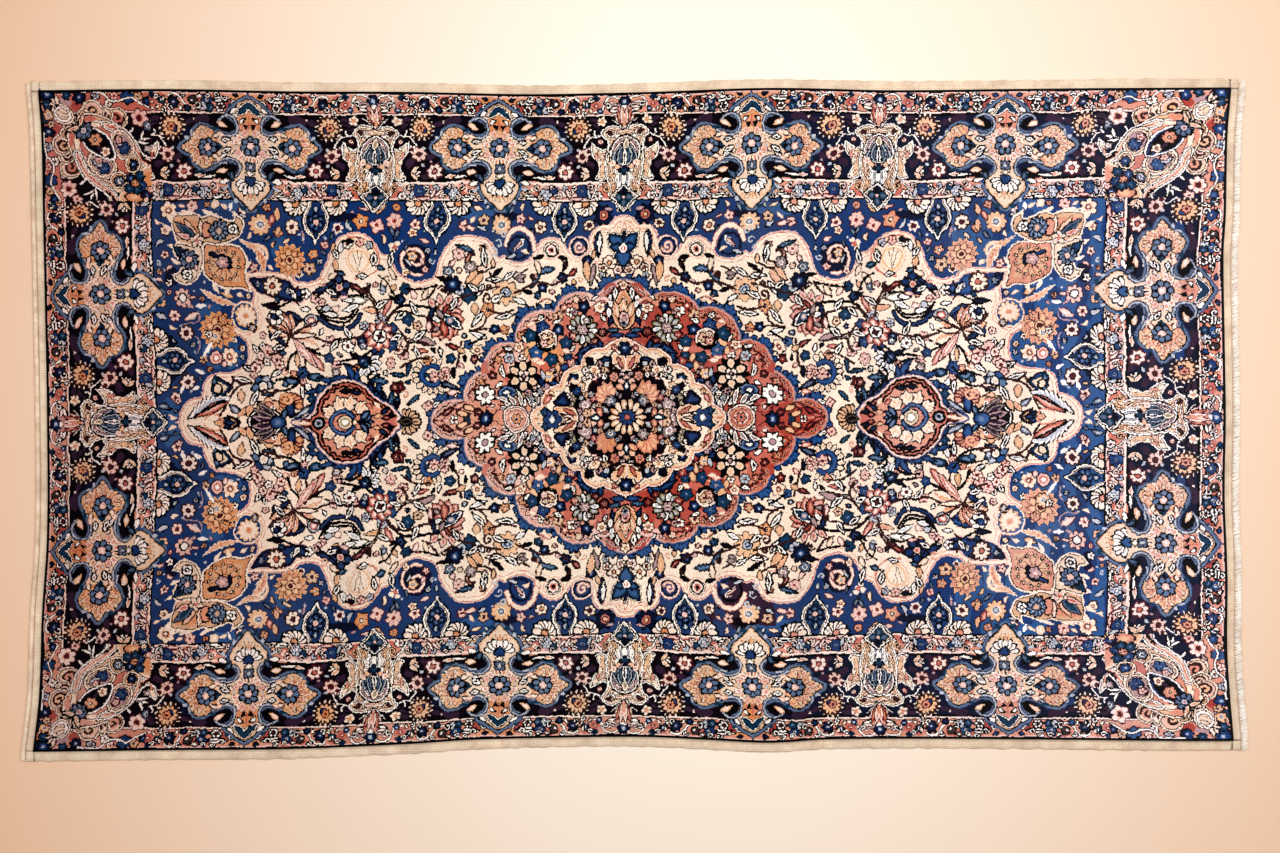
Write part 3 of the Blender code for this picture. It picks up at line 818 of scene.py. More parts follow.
def blueField(chart):
    # the blue ground, and the cream field on it with its drawn edge
    chart["yarn"][:] = yarnNames.index("blue")
    draw(chart, """pools 210 354 26 8 navy, 262 362 34 12 royal, 500 354 34 8 navy, 604 300 20 22 royal,
      700 372 40 10 royal, 802 250 14 18 navy, 735 190 22 14 royal, 715 120 36 30 royal,
      806 110 12 40 navy, 810 20 16 22 royal, 560 350 20 14 royal""")
    way = curved(creamEdge)
    way = np.concatenate([way, [(900, -30), (-30, -30), (-30, 353)]])
    patch(chart, way, (2.2, "pink"), (0.2, "rose"), (-1.0, "cream"), (-6.2, "salmon"), (-7.4, "cream"),
          smooth=False)


def pocket(chart, x, y, rx, ry, *bands):
    # a rounded piece of the blue ground let into the cream
    oval(chart, (x, y), (rx, ry), 0, *(bands or ((3.4, "salmon"), (2.2, "blush"), (0.0, "navy"),
            (-4.0, "blue"))))


def pendants(chart):
    # drops that hang from the border into the field, between two half daisies
    across = {"x": chart["y"], "y": chart["x"], "yarn": chart["yarn"].T}
    for knots, x, y in ((chart, 105, 376), (chart, 330, 376), (chart, 545, 376), (across, 105, 829)):
        for swing in (-36, 36):
            draw(knots, """oval 0 2 20 20 0 | 1.6 ink .4 cream -2 ink -3.2 cream
            oval 0 2 9 5 {} | 1 ink 0 {} -2.4 blush | out 12 @ 188 cream, 218 ivory, 244 cream, 270 ivory,
              296 cream, 322 ivory, 352 cream
            disc 0 2 5 | 1.2 brown 0 orange""", (x + swing, y))
        draw(knots, """patch -10 8 -14 -4 -20 -14 -23 -26 -21 -38 -14 -48 -5 -56 0 -67 5 -56 14 -48 21 -38
          23 -26 20 -14 14 -4 10 8 | 1.6 ink 0 ivory -2.6 ink -3.8 cream -5 ink -6.4 blue
        oval 0 -30 6 4.6 {} | 1.6 ink 0 blue -2.2 sky | out 8 @ every 6 30
        disc 0 -30 4.6 | 1.2 ink 0 pink
        leaf 0 -46 11 6 -90 | 1.2 ink 0 teal
        leaf 0 -4 12 10 -90 | 1.4 ink 0 teal -2.4 ice""", (x, y))


def fieldTop(chart):
    # flowers and leaves on the blue ground along the long border
    draw(chart, """blossoms 37 357 17 8 dusk
    daisies 62 341 9 6 cream brown wine, 148 336 10 6 cream brown orange, 403 301 12 4 cream - rose,
      586 338 12 7 cream brown wine, 575 258 7 5 cream - wine, 504 335 11 6 blush - wine
    blossoms 182 350 9 5 pink, 217 340 17 10 apricot, 248 349 10 5 tan, 286 340 9 5 pink,
      368 340 10 5 blush, 372 326 8 5 cream, 405 345 14 7 pink, 435 337 13 4 pink, 463 346 15 5 orange,
      645 340 18 10 apricot, 549 291 9 5 orange, 555 266 12 5 tan, 612 328 9 4 orange, 76 303 9 5 pink,
      503 372 9 5 ice, 280 366 8 5 teal, 60 366 8 5 tan
    leaves 244 332 16 5 30 ice, 262 334 22 7 12 pink, 396 330 18 5 -60 slate, 412 334 16 5 -120 slate,
      478 330 22 6 66 ice -4, 615 350 20 9 100 apricot, 568 332 20 4 -96 mauve, 590 318 14 5 -30 sand,
      624 322 16 5 -40 slate, 668 352 14 4 30 ice, 444 366 22 5 10 pink, 20 366 16 5 8 mauve,
      160 322 12 4 70 slate
    curl {} {} 8 .8 {} | 1.3 ice @ 215 322 745, 222 306 766, 230 292 790""")
    spiky(chart, (590, 282), 30, 14)
    draw(chart, """disc {} {} 2.2 | 0 ice @ 566 318, 574 326, 558 338, 232 330, 128 330, 390 312, 528 320,
      523 350, 350 330
    curl 645 285 22 .7 60 | 3.4 apricot 1.4 cream
    curl 648 283 14 .7 90 | 2.4 cream
    leaves 622 357 18 9 -70 rose, 612 340 18 8 -80 apricot""")


def spiky(chart, place, radius, petals):
    # a large orange blossom with pointed petals in two rows
    for i in range(petals):
        leaf(chart, place, radius, radius * 0.46, 360 / petals * i, (0.6, "brown"), (-0.4, "apricot"),
             (-2.0, "orange"), fat=1.2)
    for i in range(petals // 2):
        leaf(chart, place, radius * 0.7, radius * 0.4, 720 / petals * (i + 0.5), (0.6, "brown"),
             (-0.6, "orange"), (-2.6, "apricot"), fat=1.2)
    disc(chart, place, radius * 0.24, (1.2, "brown"), (0.0, "apricot"), (-2.4, "wine"))


def fieldPockets(chart):
    pocket(chart, 77, 302, 16, 16)
    draw(chart, """curl 77 302 11 1.3 200 | 2.6 salmon 1.2 blush
    # second pocket, under a cream band that loops over it
    ribbon 157 298 162 318 174 331 188 333 202 325 208 308 | 7 cream rose""")
    pocket(chart, 185, 301, 21, 22, (0.0, "navy"), (-5.0, "blue"))
    draw(chart, """leaves 176 316 26 8 -50 white, 180 312 20 4 -46 pink, 190 290 18 5 -20 ice""")
    # third pocket, with the big pink spiral
    pocket(chart, 368, 278, 36, 36, (0.0, "blue"), (-7.0, "navy"))
    draw(chart, """curl 368 280 30 1.3 250 | 3 salmon 1.8 blush
    blossoms 372 286 9 5 apricot, 386 256 7 5 cream, 350 262 6 5 pink, 346 296 5 5 ice
    leaves 352 272 14 5 60 pink, 376 268 16 4 60 ice, 384 296 12 4 100 slate
    # the blue under the outer line of the corner piece
    patch 566 212 590 209 618 216 640 222 654 232 662 250 640 249 598 248 583 234 560 230
      | 1.6 pink 0 navy -6 blue
    daisies 620 235 15 10 cream brown rose
    blossoms 592 228 6 5 ice, 646 238 6 5 slate, 612 214 5 5 teal""")


def creamTop(chart):
    # the lobes of the cream field under the blue one: first the palmette on the middle line
    draw(chart, """patch 0 345 12 342 20 331 34 332 44 326 50 316 50 300 44 282 20 262 -20 262 -20 343
      | .4 salmon -.8 cream -4 salmon -5 cream
    leaves 0 318 22 7 58 loop, 0 318 24 8 90 loop, 2 316 18 6 30 loop, 42 330 46 15 -88 blot,
      40 326 36 6 -88 ivory, 30 268 20 8 20 loop, 48 296 18 6 -70 tan
    leaf 0 299 {} {} {} | 3.4 ink 2.2 cream .6 ink -.8 navy -4.6 teal -6.6 sky @ 36 24 46, 24 18 6,
      30 12 90, 36 30 -90
    leaf 0 299 {} {} {} | 0 navy -3.6 teal -6 royal @ 36 24 46, 24 18 6, 36 30 -90
    disc 0 298 7 | 1.4 ink 0 ivory -3 rose -5 ivory
    daisies 24 273 12 5 cream brown orange, 10 259 8 6 blush brown salmon, 36 264 7 5 cream brown rose
    blossoms 62 277 9 5 navy, 108 248 10 5 navy, 145 231 9 5 navy, 155 217 7 5 teal, 210 222 22 8 apricot,
      38 251 6 5 ice
    disc 211 222 8 | 1.4 ink 0 ice -2.6 blue -5 ice
    leaves 50 270 38 8 -76 grey, 64 276 36 12 -94 apricot, 82 264 20 8 -40 wine, 98 278 20 7 -66 ink,
      87 246 14 7 -90 tan, 122 246 14 7 -90 mauve, 122 264 34 12 -18 teal 3, 150 256 32 11 -56 teal,
      150 256 26 8 80 sand, 166 220 18 6 14 ink, 178 201 24 7 30 ivory, 192 257 26 8 -30 dark,
      218 244 28 8 2 dark, 215 266 26 6 -36 ink, 180 240 16 7 30 grey, 176 250 16 6 -10 grey
    stem {all} | .8 brown @ 98 268 106 278 116 287, 128 206 138 212 150 206 160 200, 34 232 44 238 52 250,
      170 262 182 256 190 258, 228 236 236 244 240 258
    curl {} {} {} .9 {} | 1.1 salmon @ 138 207 7 730, 150 207 6 790, 162 250 7 850, 76 244 6 420,
      24 246 6 160
    # the lobe between the first two pockets
    disc 127 297 18 | 0 salmon -1.2 cream -4 brown -5.2 cream
    disc 127 296 9 | 1.8 ink 0 blush -3 rose -5.4 ink
    leaves 112 286 16 5 200 ink, 142 286 16 5 -20 ink
    # the lobe with the scroll, and its striped tail
    curl 264 286 {} .62 215 | 1.1 {} @ 34 brown, 27 salmon, 20 brown
    blossoms 272 268 10 6 grey, 292 292 10 6 pink, 250 300 6 5 orange
    leaves 246 268 36 9 84 dark, 266 296 32 9 18 teal, 232 282 16 6 -90 apricot, 252 256 38 12 -50 apricot,
      262 262 30 8 -50 apricot, 300 282 20 7 -60 pink""")


def creamMiddle(chart):
    # from the medallion's shoulder out to the big rose palmette
    draw(chart, """curl {} {} {} 1 {} | 1.1 brown @ 240 231 6 300, 243 213 9 303, 162 250 6 222,
      320 229 7 380, 309 222 6 369, 256 118 6 316
    stem {all} | 1 brown @ 245 184 250 168 262 160 276 158, 240 160 258 159 275 158,
      330 236 345 216 360 210, 293 137 297 116 300 100 304 90 307 80
    stem {all} | 1.5 ink @ 342 198 360 200 385 200 399 197 412 186 420 175
    blossoms 243 194 13 5 orange, 232 157 9 5 navy, 215 156 8 5 orange, 278 217 13 6 teal, 292 227 9 6 ice,
      303 238 15 7 navy, 388 228 9 6 teal, 398 210 10 5 navy, 385 177 12 5 teal, 414 160 10 5 blue,
      310 262 10 5 slate, 265 123 12 5 cream, 281 132 8 5 royal, 312 108 9 5 teal, 270 105 8 5 wine,
      368 166 8 5 tan, 405 60 12 5 wine
    leaves 198 182 32 9 -6 dark, 252 190 32 8 -52 dark, 248 144 30 8 22 ivory, 266 204 18 12 -90 tan,
      250 236 26 8 -56 dark, 306 246 26 6 8 ink, 356 212 20 8 118 sand, 368 212 20 9 60 pink,
      338 134 48 12 4 grey 5, 352 122 28 6 2 rose, 392 128 14 12 76 sand, 412 212 36 8 -62 rose,
      405 236 16 7 -60 tan, 420 246 14 6 -80 tan, 424 222 10 8 10 ice, 424 178 12 8 -40 teal,
      298 124 24 7 22 wine, 288 118 14 8 30 tan, 290 90 12 6 40 pink, 308 92 20 6 -90 ink,
      370 86 20 6 -70 sage, 376 84 18 6 -110 ivory, 384 104 26 7 -80 teal, 392 79 26 7 10 teal,
      404 46 24 6 -70 teal, 370 45 24 7 -40 teal, 334 32 24 7 -30 dark, 304 48 18 8 -6 pink,
      408 210 10 5 40 ink, 412 130 14 6 90 navy, 340 74 26 6 20 teal
    # the rose palmette
    leaf 322 176 36 22 {} | 1.4 brown 0 rose -3 pink -6 rose | fat 1.2 @ steps 105 25 10
    leaf 322 176 30 12 {} | 1.2 brown 0 red -3 salmon | fat 1.2 @ 118, 192, 267
    leaf 292 160 46 16 40 | 1.6 ink 0 ivory -2.4 navy -4.6 teal
    disc 310 174 6 | 1.4 ink 0 sky -3 pink
    leaves 322 178 20 8 64 grey, 328 172 18 8 40 ivory, 330 162 16 7 -20 grey, 333 200 30 9 -72 navy 4,
      342 158 22 8 70 wine, 350 154 20 7 100 pink
    leaf {} {} 17 10 {} | 1.2 brown 0 pink -3 rose @ 300 200 140, 312 204 110, 324 204 80, 334 200 50
    # royal crescent round a pink flower
    leaf 346 79 14 7.5 {} | 1.1 ink 0 cream -2.6 tan | fat 1.3 out 20 @ steps -140 20 14""")
    stem(chart, [(346 + 17 * math.cos(math.radians(turn)),
                  79 + 17 * math.sin(math.radians(turn))) for turn in range(128, -141, -20)],
         (5.4, "ink"), (4.2, "blue"), (1.4, "royal"))
    draw(chart, """leaf 330 66 34 9 206 | 1.2 ink 0 navy -2.2 slate
    blossoms 342 76 9 6 pink, 322 86 7 6 pink, 320 75 6 6 blush, 329 79 6 5 pink, 395 115 8 6 pink,
      403 122 7 6 blush, 356 25 9 4 pink, 378 6 7 5 grey, 352 106 8 4 orange
    curl {} {} {} 1 {} | 1.1 salmon @ 415 105 6 445, 394 46 7 424""")


def sideMotifs(chart):
    # between the rose palmette and the pendant on the long axis
    draw(chart, """leaves 418 250 28 10 -62 sand, 424 222 14 8 60 slate, 450 234 16 6 -60 ink,
      454 220 24 8 26 wine, 462 226 26 7 24 wine, 434 190 30 9 8 apricot, 498 140 20 6 4 ivory,
      516 238 36 14 -24 navy, 452 210 50 12 4 dark, 554 198 16 5 4 ivory, 566 176 46 10 22 navy 4,
      566 160 30 8 52 navy, 596 134 28 9 34 navy, 625 142 36 9 92 navy, 608 203 30 8 0 ink,
      550 100 30 8 56 ink, 535 90 52 12 54 rose, 580 98 24 8 90 tan, 600 122 14 7 0 teal,
      612 94 20 7 -42 teal, 555 50 24 8 62 ivory, 572 44 28 7 90 dark, 452 50 22 7 84 slate,
      424 28 34 9 72 navy, 475 60 44 17 68 blue, 458 62 12 6 10 teal, 468 110 22 7 24 ink,
      452 84 14 8 40 sage, 404 34 10 6 60 teal, 486 130 14 8 0 grey
    stem {all} | 1 brown @ 440 204 450 219 455 236, 568 94 566 110 570 136, 480 226 487 238,
      525 138 545 128 560 130 575 144 590 150, 574 204 583 216 576 236, 598 90 606 102 622 112
    stem {all} | 1.3 ink @ 450 125 470 112 500 107 511 103, 580 126 595 110 598 90,
      580 70 595 60 610 55 620 57 625 46, 525 112 545 122 560 130, 543 200 536 186 533 174
    blossoms 432 175 10 6 ice, 461 165 8 5 ice, 465 141 9 5 navy, 483 138 8 5 pink, 520 141 9 5 pink,
      513 215 6 5 orange, 535 207 6 5 pink, 546 213 7 5 pink, 562 222 9 5 ivory, 415 130 10 5 blue,
      440 122 10 6 blue, 463 133 7 5 slate, 490 130 10 6 ivory, 525 112 9 5 blue, 513 99 8 5 pink,
      417 100 9 8 pink, 513 86 8 5 grey, 410 60 9 5 wine, 572 87 11 6 blue, 588 87 6 5 orange,
      570 72 6 5 pink, 632 68 9 5 teal, 632 52 7 5 teal, 622 24 14 7 apricot, 617 3 12 6 navy,
      475 92 7 5 orange
    leaf 505 232 18 15 {} | 1.4 ink 0 navy -3 blue | fat 1.3 out 4 @ every 5 20
    disc 505 232 6 | 1.2 ink 0 pink -2.6 rose
    # boat palmette: a navy crescent under ivory ribs, with leaves lying in it
    stem 468 184 476 170 488 163 505 162 524 167 540 182 | 5 ink 3.6 navy 1.4 blue
    stem {0} {1} 486 {2} 506 {3} 526 {4} {5} {1} | 1.2 ink @ 471 193 175 173 177 537,
      475 199 181 179 183 533
    leaves 456 208 44 14 4 sage, 470 202 30 9 -24 ivory, 478 210 22 7 -2 ivory, 504 192 14 12 20 pink,
      520 198 14 10 -10 ice, 508 184 24 8 12 ivory, 490 216 16 6 -8 pink
    # thistle: five ribbed petals, and a plume to either side
    leaf 588 150 {} 14 {} | 1.2 brown 0 {} -2.2 rose -3.4 blush | fat 1.1 @ 40 88 apricot, 46 70 salmon,
      52 52 apricot, 52 34 salmon, 46 18 apricot
    leaves 588 150 50 14 150 plume 4, 588 148 60 12 200 plume -6, 588 150 44 9 132 line,
      586 150 40 8 176 line
    leaf 584 146 62 13 -128 | 1.3 wine 0 pink -2.4 rose -4 blush | fat .9
    # rose star flower
    leaf 436 148 25 15 {} | 1.4 wine 0 rose -3 pink -5 blush | fat 1.2 @ every 8 10
    disc 436 148 10 | 1.6 ink 0 ivory
    leaf 436 148 9 5 {} | 0 ink @ every 4 22
    disc 436 148 3 | 0 wine
    disc 553 178 10 | 1.6 ink 0 ice -2 ink -3.4 rose -6 blush
    leaf 460 102 25 9 {} | 1.3 ink 0 ivory -2.4 ice | fat 1.4 @ 150, 180, 206, 232, 262, 290
    blossoms 463 105 12 5 navy, 459 100 5 5 teal
    disc 616 184 5.2 | 1.4 ink 0 ivory | out 8.5 way {} @ every 6 0
    disc 616 184 4 | 1.2 ink 0 navy""")
    for turn in range(-10, 191, 25):
        tilt = math.radians(turn)
        oval(chart, (593 + 14 * math.cos(tilt), 34 + 13 * math.sin(tilt)), (6, 4.4), turn, (1.2, "wine"),
             (0.0, "orange"), (-2.6, "apricot"))
    draw(chart, """oval {} {} {} {} {} | {} @ 548 78 11 6 8 teal, 593 75 12 6 6 teal, 594 25 7 13 0 navy,
      620 185 5 5 0 navy
    curl {} {} {} 1 {} | 1.1 salmon @ 606 92 8 1262, 616 104 9 1282, 604 112 7 1258, 620 118 7 1290,
      566 28 6 1182, 535 240 9 1120""")


def sidePendant(chart):
    # the cartouche that ends the medallion on the long axis, with its blue fringe
    edge = [(404, 5), (411, 19), (422, 30), (437, 38), (451, 49), (462, 61), (478, 69), (497, 72),
            (518, 67), (534, 54), (546, 40),
            (552, 23), (565, 11), (592, 0), (566, -8), (500, -12), (425, -12)]
    draw(chart, """leaves 466 62 50 14 50 blue, 490 76 34 12 -2 blue, 476 68 24 9 96 blue,
      456 54 26 10 112 blue, 520 70 24 10 16 blue, 540 56 26 9 -10 blue, 588 10 44 8 146 slate,
      562 20 36 10 134 blue, 448 44 26 10 78 navy, 434 30 40 12 84 navy, 446 40 42 9 96 blue 6,
      424 70 28 11 4 teal, 420 28 28 9 104 teal, 416 20 22 8 130 ink
    blossoms 539 58 8 4 blue, 556 42 8 4 teal
    stem 420 24 434 46 448 62 456 78 448 88 | 1 ink""")
    patch(chart, edge, (4.4, "ink"), (3.2, "blue"), (1.4, "mauve"), (0.0, "blush"), (-2.2, "salmon"),
          (-4.0, "rose"), (-13.0, "salmon"))
    squiggle(chart, curved(edge[1:13]), 5.0, 1.6, (0.9, "ink"))
    squiggle(chart, curved(edge[2:12]), 11.5, 2.4, (0.9, "ink"))
    draw(chart, """leaves 506 52 22 7 176 ink, 484 49 12 6 180 navy""")
    # a fan of jagged cream petals round a blue crescent
    for x, y, turn in listed("""516 12 34, 503 20 70, 490 20 96, 478 14 128"""):
        for swing, length in ((-24, 21), (24, 21), (0, 26)):
            leaf(chart, (x, y), length, 11, turn + swing, (1.2, "ink"), fat=1.3)
        for swing, length in ((-24, 21), (24, 21), (0, 26)):
            leaf(chart, (x, y), length, 11, turn + swing, (0.0, "cream"), (-3.6, "apricot"), fat=1.3)
    draw(chart, """stem 523 2 518 13 507 19 495 19 484 10 | 4.6 ink 3.2 blue 1 sky
    disc 498 0 12 | 1 ink 0 sand -3 sage -6 ivory
    disc 482 0 4 | .9 ink 0 cream
    leaf 474 0 24 10 {} | 1.2 ink 0 navy -2.4 sky | fat 1.3 @ 180, 156, 132, 204, 228
    disc 545 0 10 | 1.4 ink 0 ink -3 ice -5.4 slate -7.6 ink
    leaves 560 6 22 7 -14 wine, 560 0 26 5 0 cream, 438 14 16 7 150 navy, 434 6 16 7 176 wine,
      448 8 12 6 160 apricot, 424 12 14 7 190 ink, 452 24 12 6 30 rose, 440 24 12 6 60 cream
    # the fan of small tan petals between it and the medallion
    oval 391 0 6.4 4.2 {} | 1 ink 0 tan -2.6 apricot | out 15 @ steps 78 24 10
    leaf 384 0 22 13 0 | 1.2 ink 0 olive -3 ink""")


def finial(chart):
    # the cream field's pointed end: a daisy of five navy petals, and the palmette on the axis
    draw(chart, """leaf 643 64 {} 15 {} | {} | fat 1.3 @ 22 50 blue, 20 118 slate, 17 178 slate,
      19 240 teal, 22 -18 teal
    disc 643 64 7 | 1.6 ink 0 ivory -2.6 sand
    leaves 652 56 34 9 -62 dark, 664 68 34 8 14 dark, 702 60 14 8 30 navy, 684 56 22 13 -94 tan,
      672 96 20 9 -162 ink, 660 88 22 9 28 dark, 608 94 24 7 -34 dark, 650 120 18 8 60 dark,
      642 138 14 9 -90 dark, 686 18 22 9 36 slate, 684 -4 28 9 36 ink, 600 64 12 10 60 teal,
      664 30 22 10 -60 apricot, 692 2 30 10 8 apricot, 688 10 20 8 130 apricot, 618 58 28 5 -10 line
    leaf 734 60 34 30 180 | 1.6 ink 0 navy -3.6 teal -6 sand | fat .6
    leaves 730 56 22 9 96 teal, 730 64 20 9 -94 teal
    disc 724 58 6 | 1.4 ink 0 sand
    # the long serrated leaf that droops towards the tip
    stem {all} | 1.3 brown @ 664 68 690 60 706 44 712 26 722 12, 700 62 694 72 682 66, 610 56 630 52 640 58
    leaf 706 44 82 28 -27 | 1.8 ink 0 ivory -3.4 ice | teeth 8 fat .75 bend 3
    leaf 708 38 66 13 -28 | 1.4 ink 0 rose -2.6 salmon -4.2 pink | fat .8
    stem 712 38 738 26 768 9 | 1.2 ink
    # blush blossoms above
    blossoms 633 122 12 8 pink, 616 112 9 6 pink, 652 100 9 6 pink, 612 102 8 6 blush, 656 94 9 6 blush,
      636 106 7 5 ivory, 646 116 7 6 blush, 660 82 7 5 pink""")
    # the palmette on the axis: an orange rim over a striped fan, out of a blue bud
    palmette(chart, (634, 12), 32, 90, ("brown", "apricot", "brown", "salmon", "orange"), petals=5,
             spread=200)
    draw(chart, """disc {} 26 4 | 1.4 salmon 0 ivory -2 ink @ 625, 647
    oval 640 0 31 23 0 | 1.8 ink 0 ivory -1.8 ink
    leaf 614 0 52 12 {} | 1.4 ink 0 {} -2.6 violet | fat 1.2 @ 42 grey, -42 grey, 26 grey, -26 grey,
      10 mauve, -10 mauve
    oval 618 0 13 10 0 | 1.6 ink 0 blue -3 royal -6 sky
    leaves 610 8 18 8 120 teal, 700 0 16 9 30 navy, 700 0 16 9 -30 navy, 694 0 20 8 0 navy,
      716 0 16 8 0 apricot
    curl 600 40 11 1.2 20 | 2.6 orange 1 apricot
    curl 724 -4 26 .45 20 | 1.4 salmon""")


def fieldEnd(chart):
    # blue ground of the short side, its pockets and the corner piece
    pocket(chart, 671, 182, 22, 24, (3.6, "salmon"), (2.4, "cream"), (0.0, "blue"), (-5.0, "navy"))
    draw(chart, """daisies 670 184 17 12 cream apricot orange
    blossoms 659 163 7 5 grey, 703 113 15 7 cream, 693 142 6 5 ivory, 738 165 8 5 ice, 797 183 9 6 blush,
      782 213 16 8 pink, 763 371 10 6 pink, 805 365 15 6 cream, 811 330 9 5 cream, 655 266 8 5 pink,
      672 368 10 6 blush, 806 240 7 5 ivory, 812 288 7 5 blush, 748 108 7 5 tan, 800 42 9 5 blush,
      796 36 6 5 pink
    daisies 778 152 12 8 blush brown wine, 778 70 13 8 blush brown wine
    disc 727 111 10 | 3 violet 0 pink -3 rose -6 ivory
    disc 782 213 6 | 1.6 ink 0 ivory
    disc 722 373 8 | 1 navy 0 sand -4 cream""")
    spiky(chart, (722, 158), 34, 15)
    draw(chart, """blossoms 727 146 12 9 apricot, 712 176 8 6 orange, 738 150 6 5 ivory
    leaves 636 256 56 17 62 plume 7, 688 202 66 14 24 plume -6, 742 200 18 5 -4 white,
      756 187 28 10 -26 pink, 694 216 22 9 20 tan, 712 350 36 8 22 plume, 748 352 44 8 14 plume,
      692 376 14 5 -70 white, 757 214 14 4 0 pink, 748 83 16 5 30 white, 757 62 14 6 -28 white,
      732 136 30 5 -52 white, 712 96 12 8 90 pink, 640 300 44 12 20 plume -4, 786 62 14 5 -70 white,
      762 196 14 5 20 mauve, 700 250 8 4 90 ink
    disc {} {} 2.2 | 0 ice @ 787 165, 764 178, 690 98, 700 100, 760 225, 742 240, 815 262, 772 52, 762 120,
      757 136
    stem {all} | 1 mauve @ 757 120 754 136 760 146, 757 190 753 178 762 170 786 168""")
    cornerDrops(chart)


def cornerDrops(chart):
    # three drops in the corner of the field, each in a cream line with flames along it
    draw(chart, """leaf {} {} {} 6 {} | .6 cream @ 756 356 28 18, 730 356 17 32, 681 348 17 53,
      799 330 20 32, 795 301 13 22, 788 272 16 34, 785 243 19 36, 727 237 17 -121, 670 243 22 -125,
      670 264 16 120, 800 344 18 70, 700 232 16 -60
    patch 746 308 722 306 700 313 681 322 672 337 675 349 686 355 688 347 699 346 716 352 730 356 743 352
      756 356 776 357 796 355 798 341 794 325 788 311 770 306 | 2.4 cream -.6 ink -2.2 tan -9 orange
    patch 788 309 794 300 794 289 787 278 782 266 786 256 797 252 788 241 775 237 760 244 751 256 747 270
      747 300 768 305 | 2.4 cream -.6 ink -2.2 sand -9 cream
    patch 743 302 743 262 738 251 722 238 704 231 682 233 662 228 668 243 671 260 669 277 674 292 683 301
      700 306 722 303 | 2.4 cream -.6 ink -2.2 orange -9 tan
    # the wing with leaves, a blue rosette and a clover
    leaf 754 316 40 12 56 | 1 ink 0 apricot -2.4 pink
    leaf 758 317 44 13 38 | 1.2 ink 0 slate -2.6 teal
    leaf 764 316 28 9 18 | 1 ink 0 pink -2.4 rose
    leaf 745 320 30 9 84 | 1 ink 0 cream -2.4 salmon
    oval 738 330 7 13 0 | 1 brown 0 salmon -2.6 orange
    oval 717 330 6 3.6 {} | 1.1 ink 0 sky -2.4 ice | out 10.5 @ every 11 0
    disc 717 330 7 | .9 ink 0 slate -2.6 tan
    daisy {} {} 9 4 | ivory ink ivory | turn 45 fat 1 @ 691 333, 772 254
    # the second one, with a rosette of its own
    leaf 768 296 22 12 -30 | 1 ink 0 apricot
    leaf 776 286 26 12 40 | 1.2 ink 0 teal -3 navy
    leaf 756 262 30 8 70 | 1 ink 0 pink
    oval 771 280 5.6 3.8 {} | 1.1 ink 0 sky -2 slate | out 9.5 @ every 9 0
    disc 771 280 5 | .9 ink 0 pink
    # the orange one: ribbed petals with dark spots, round a mauve flower
    leaf 708 270 33 15 {0} | .5 brown -.4 orange -3 tan | fat 1.5 & leaf 708 270 25 5 {1}
      | .5 wine -.4 apricot | fat 1.3 & disc 708 270 3.4 | 0 ink | out 26 way {0} & disc 708 270 1.4
      | 0 sand | out 26 way {0} @ 8 23, 38 53, 68 83, 98 113, 128 143, 158 173, 188 203, 218 233, 248 263,
      278 293, 308 323, 338 353
    stem 698 266 699 278 708 285 720 284 730 288 | 4.6 ink 2.4 navy
    flower 710 274 11 5 | ink mauve violet pink rose blush
    # the small flower at the node where the three meet
    leaf 754 312 13 9 {} | 1 ink 0 cream -2.4 pink @ every 5 20
    disc 754 312 3 | 0 rose""")


def drawField():
    field = newChart(0.0, plan["fieldHalfLength"], 0.0, plan["fieldHalfWidth"], "cream")
    blueField(field)
    fieldTop(field)
    fieldPockets(field)
    creamTop(field)
    medallionBody(field)
    bodyRight(field)
    medallionCentre(field)
    creamMiddle(field)
    sideMotifs(field)
    sidePendant(field)
    finial(field)
    fieldEnd(field)
    pendants(field)
    moreMotifs(field)
    fillGaps(field, ("cream",), (15, 12, 9, 7, 5.4), creamLeaves, creamBlooms, "brown")
    fillGaps(field, ("blue", "navy", "royal"), (11, 9, 7, 5.6), blueLeaves, blueBlooms, "ice", seed=8)
    fillGaps(field, ("rose", "salmon", "red", "pink"), (9, 7, 5.4), roseLeaves, roseBlooms, "wine", seed=3)
    return field


def bodyRight(chart):
    # the rose ground's last lobe before the pendant
    draw(chart, """blossoms 262 64 8 5 orange, 274 41 9 5 rose, 240 22 15 6 rose, 253 2 12 6 navy,
      267 12 7 5 wine, 287 5 7 5 teal, 308 0 7 5 ivory
    leaves 222 64 16 6 -32 ivory, 238 40 12 4 80 ink, 288 28 26 7 -22 rose, 310 20 28 7 -34 wine,
      324 6 22 6 -12 rose
    daisy 254 42 17 8 | ivory ink mauve | turn 20 fat .9
    oval {} {} 8 4 20 | 1.2 brown 0 apricot @ 283 20, 294 10""")


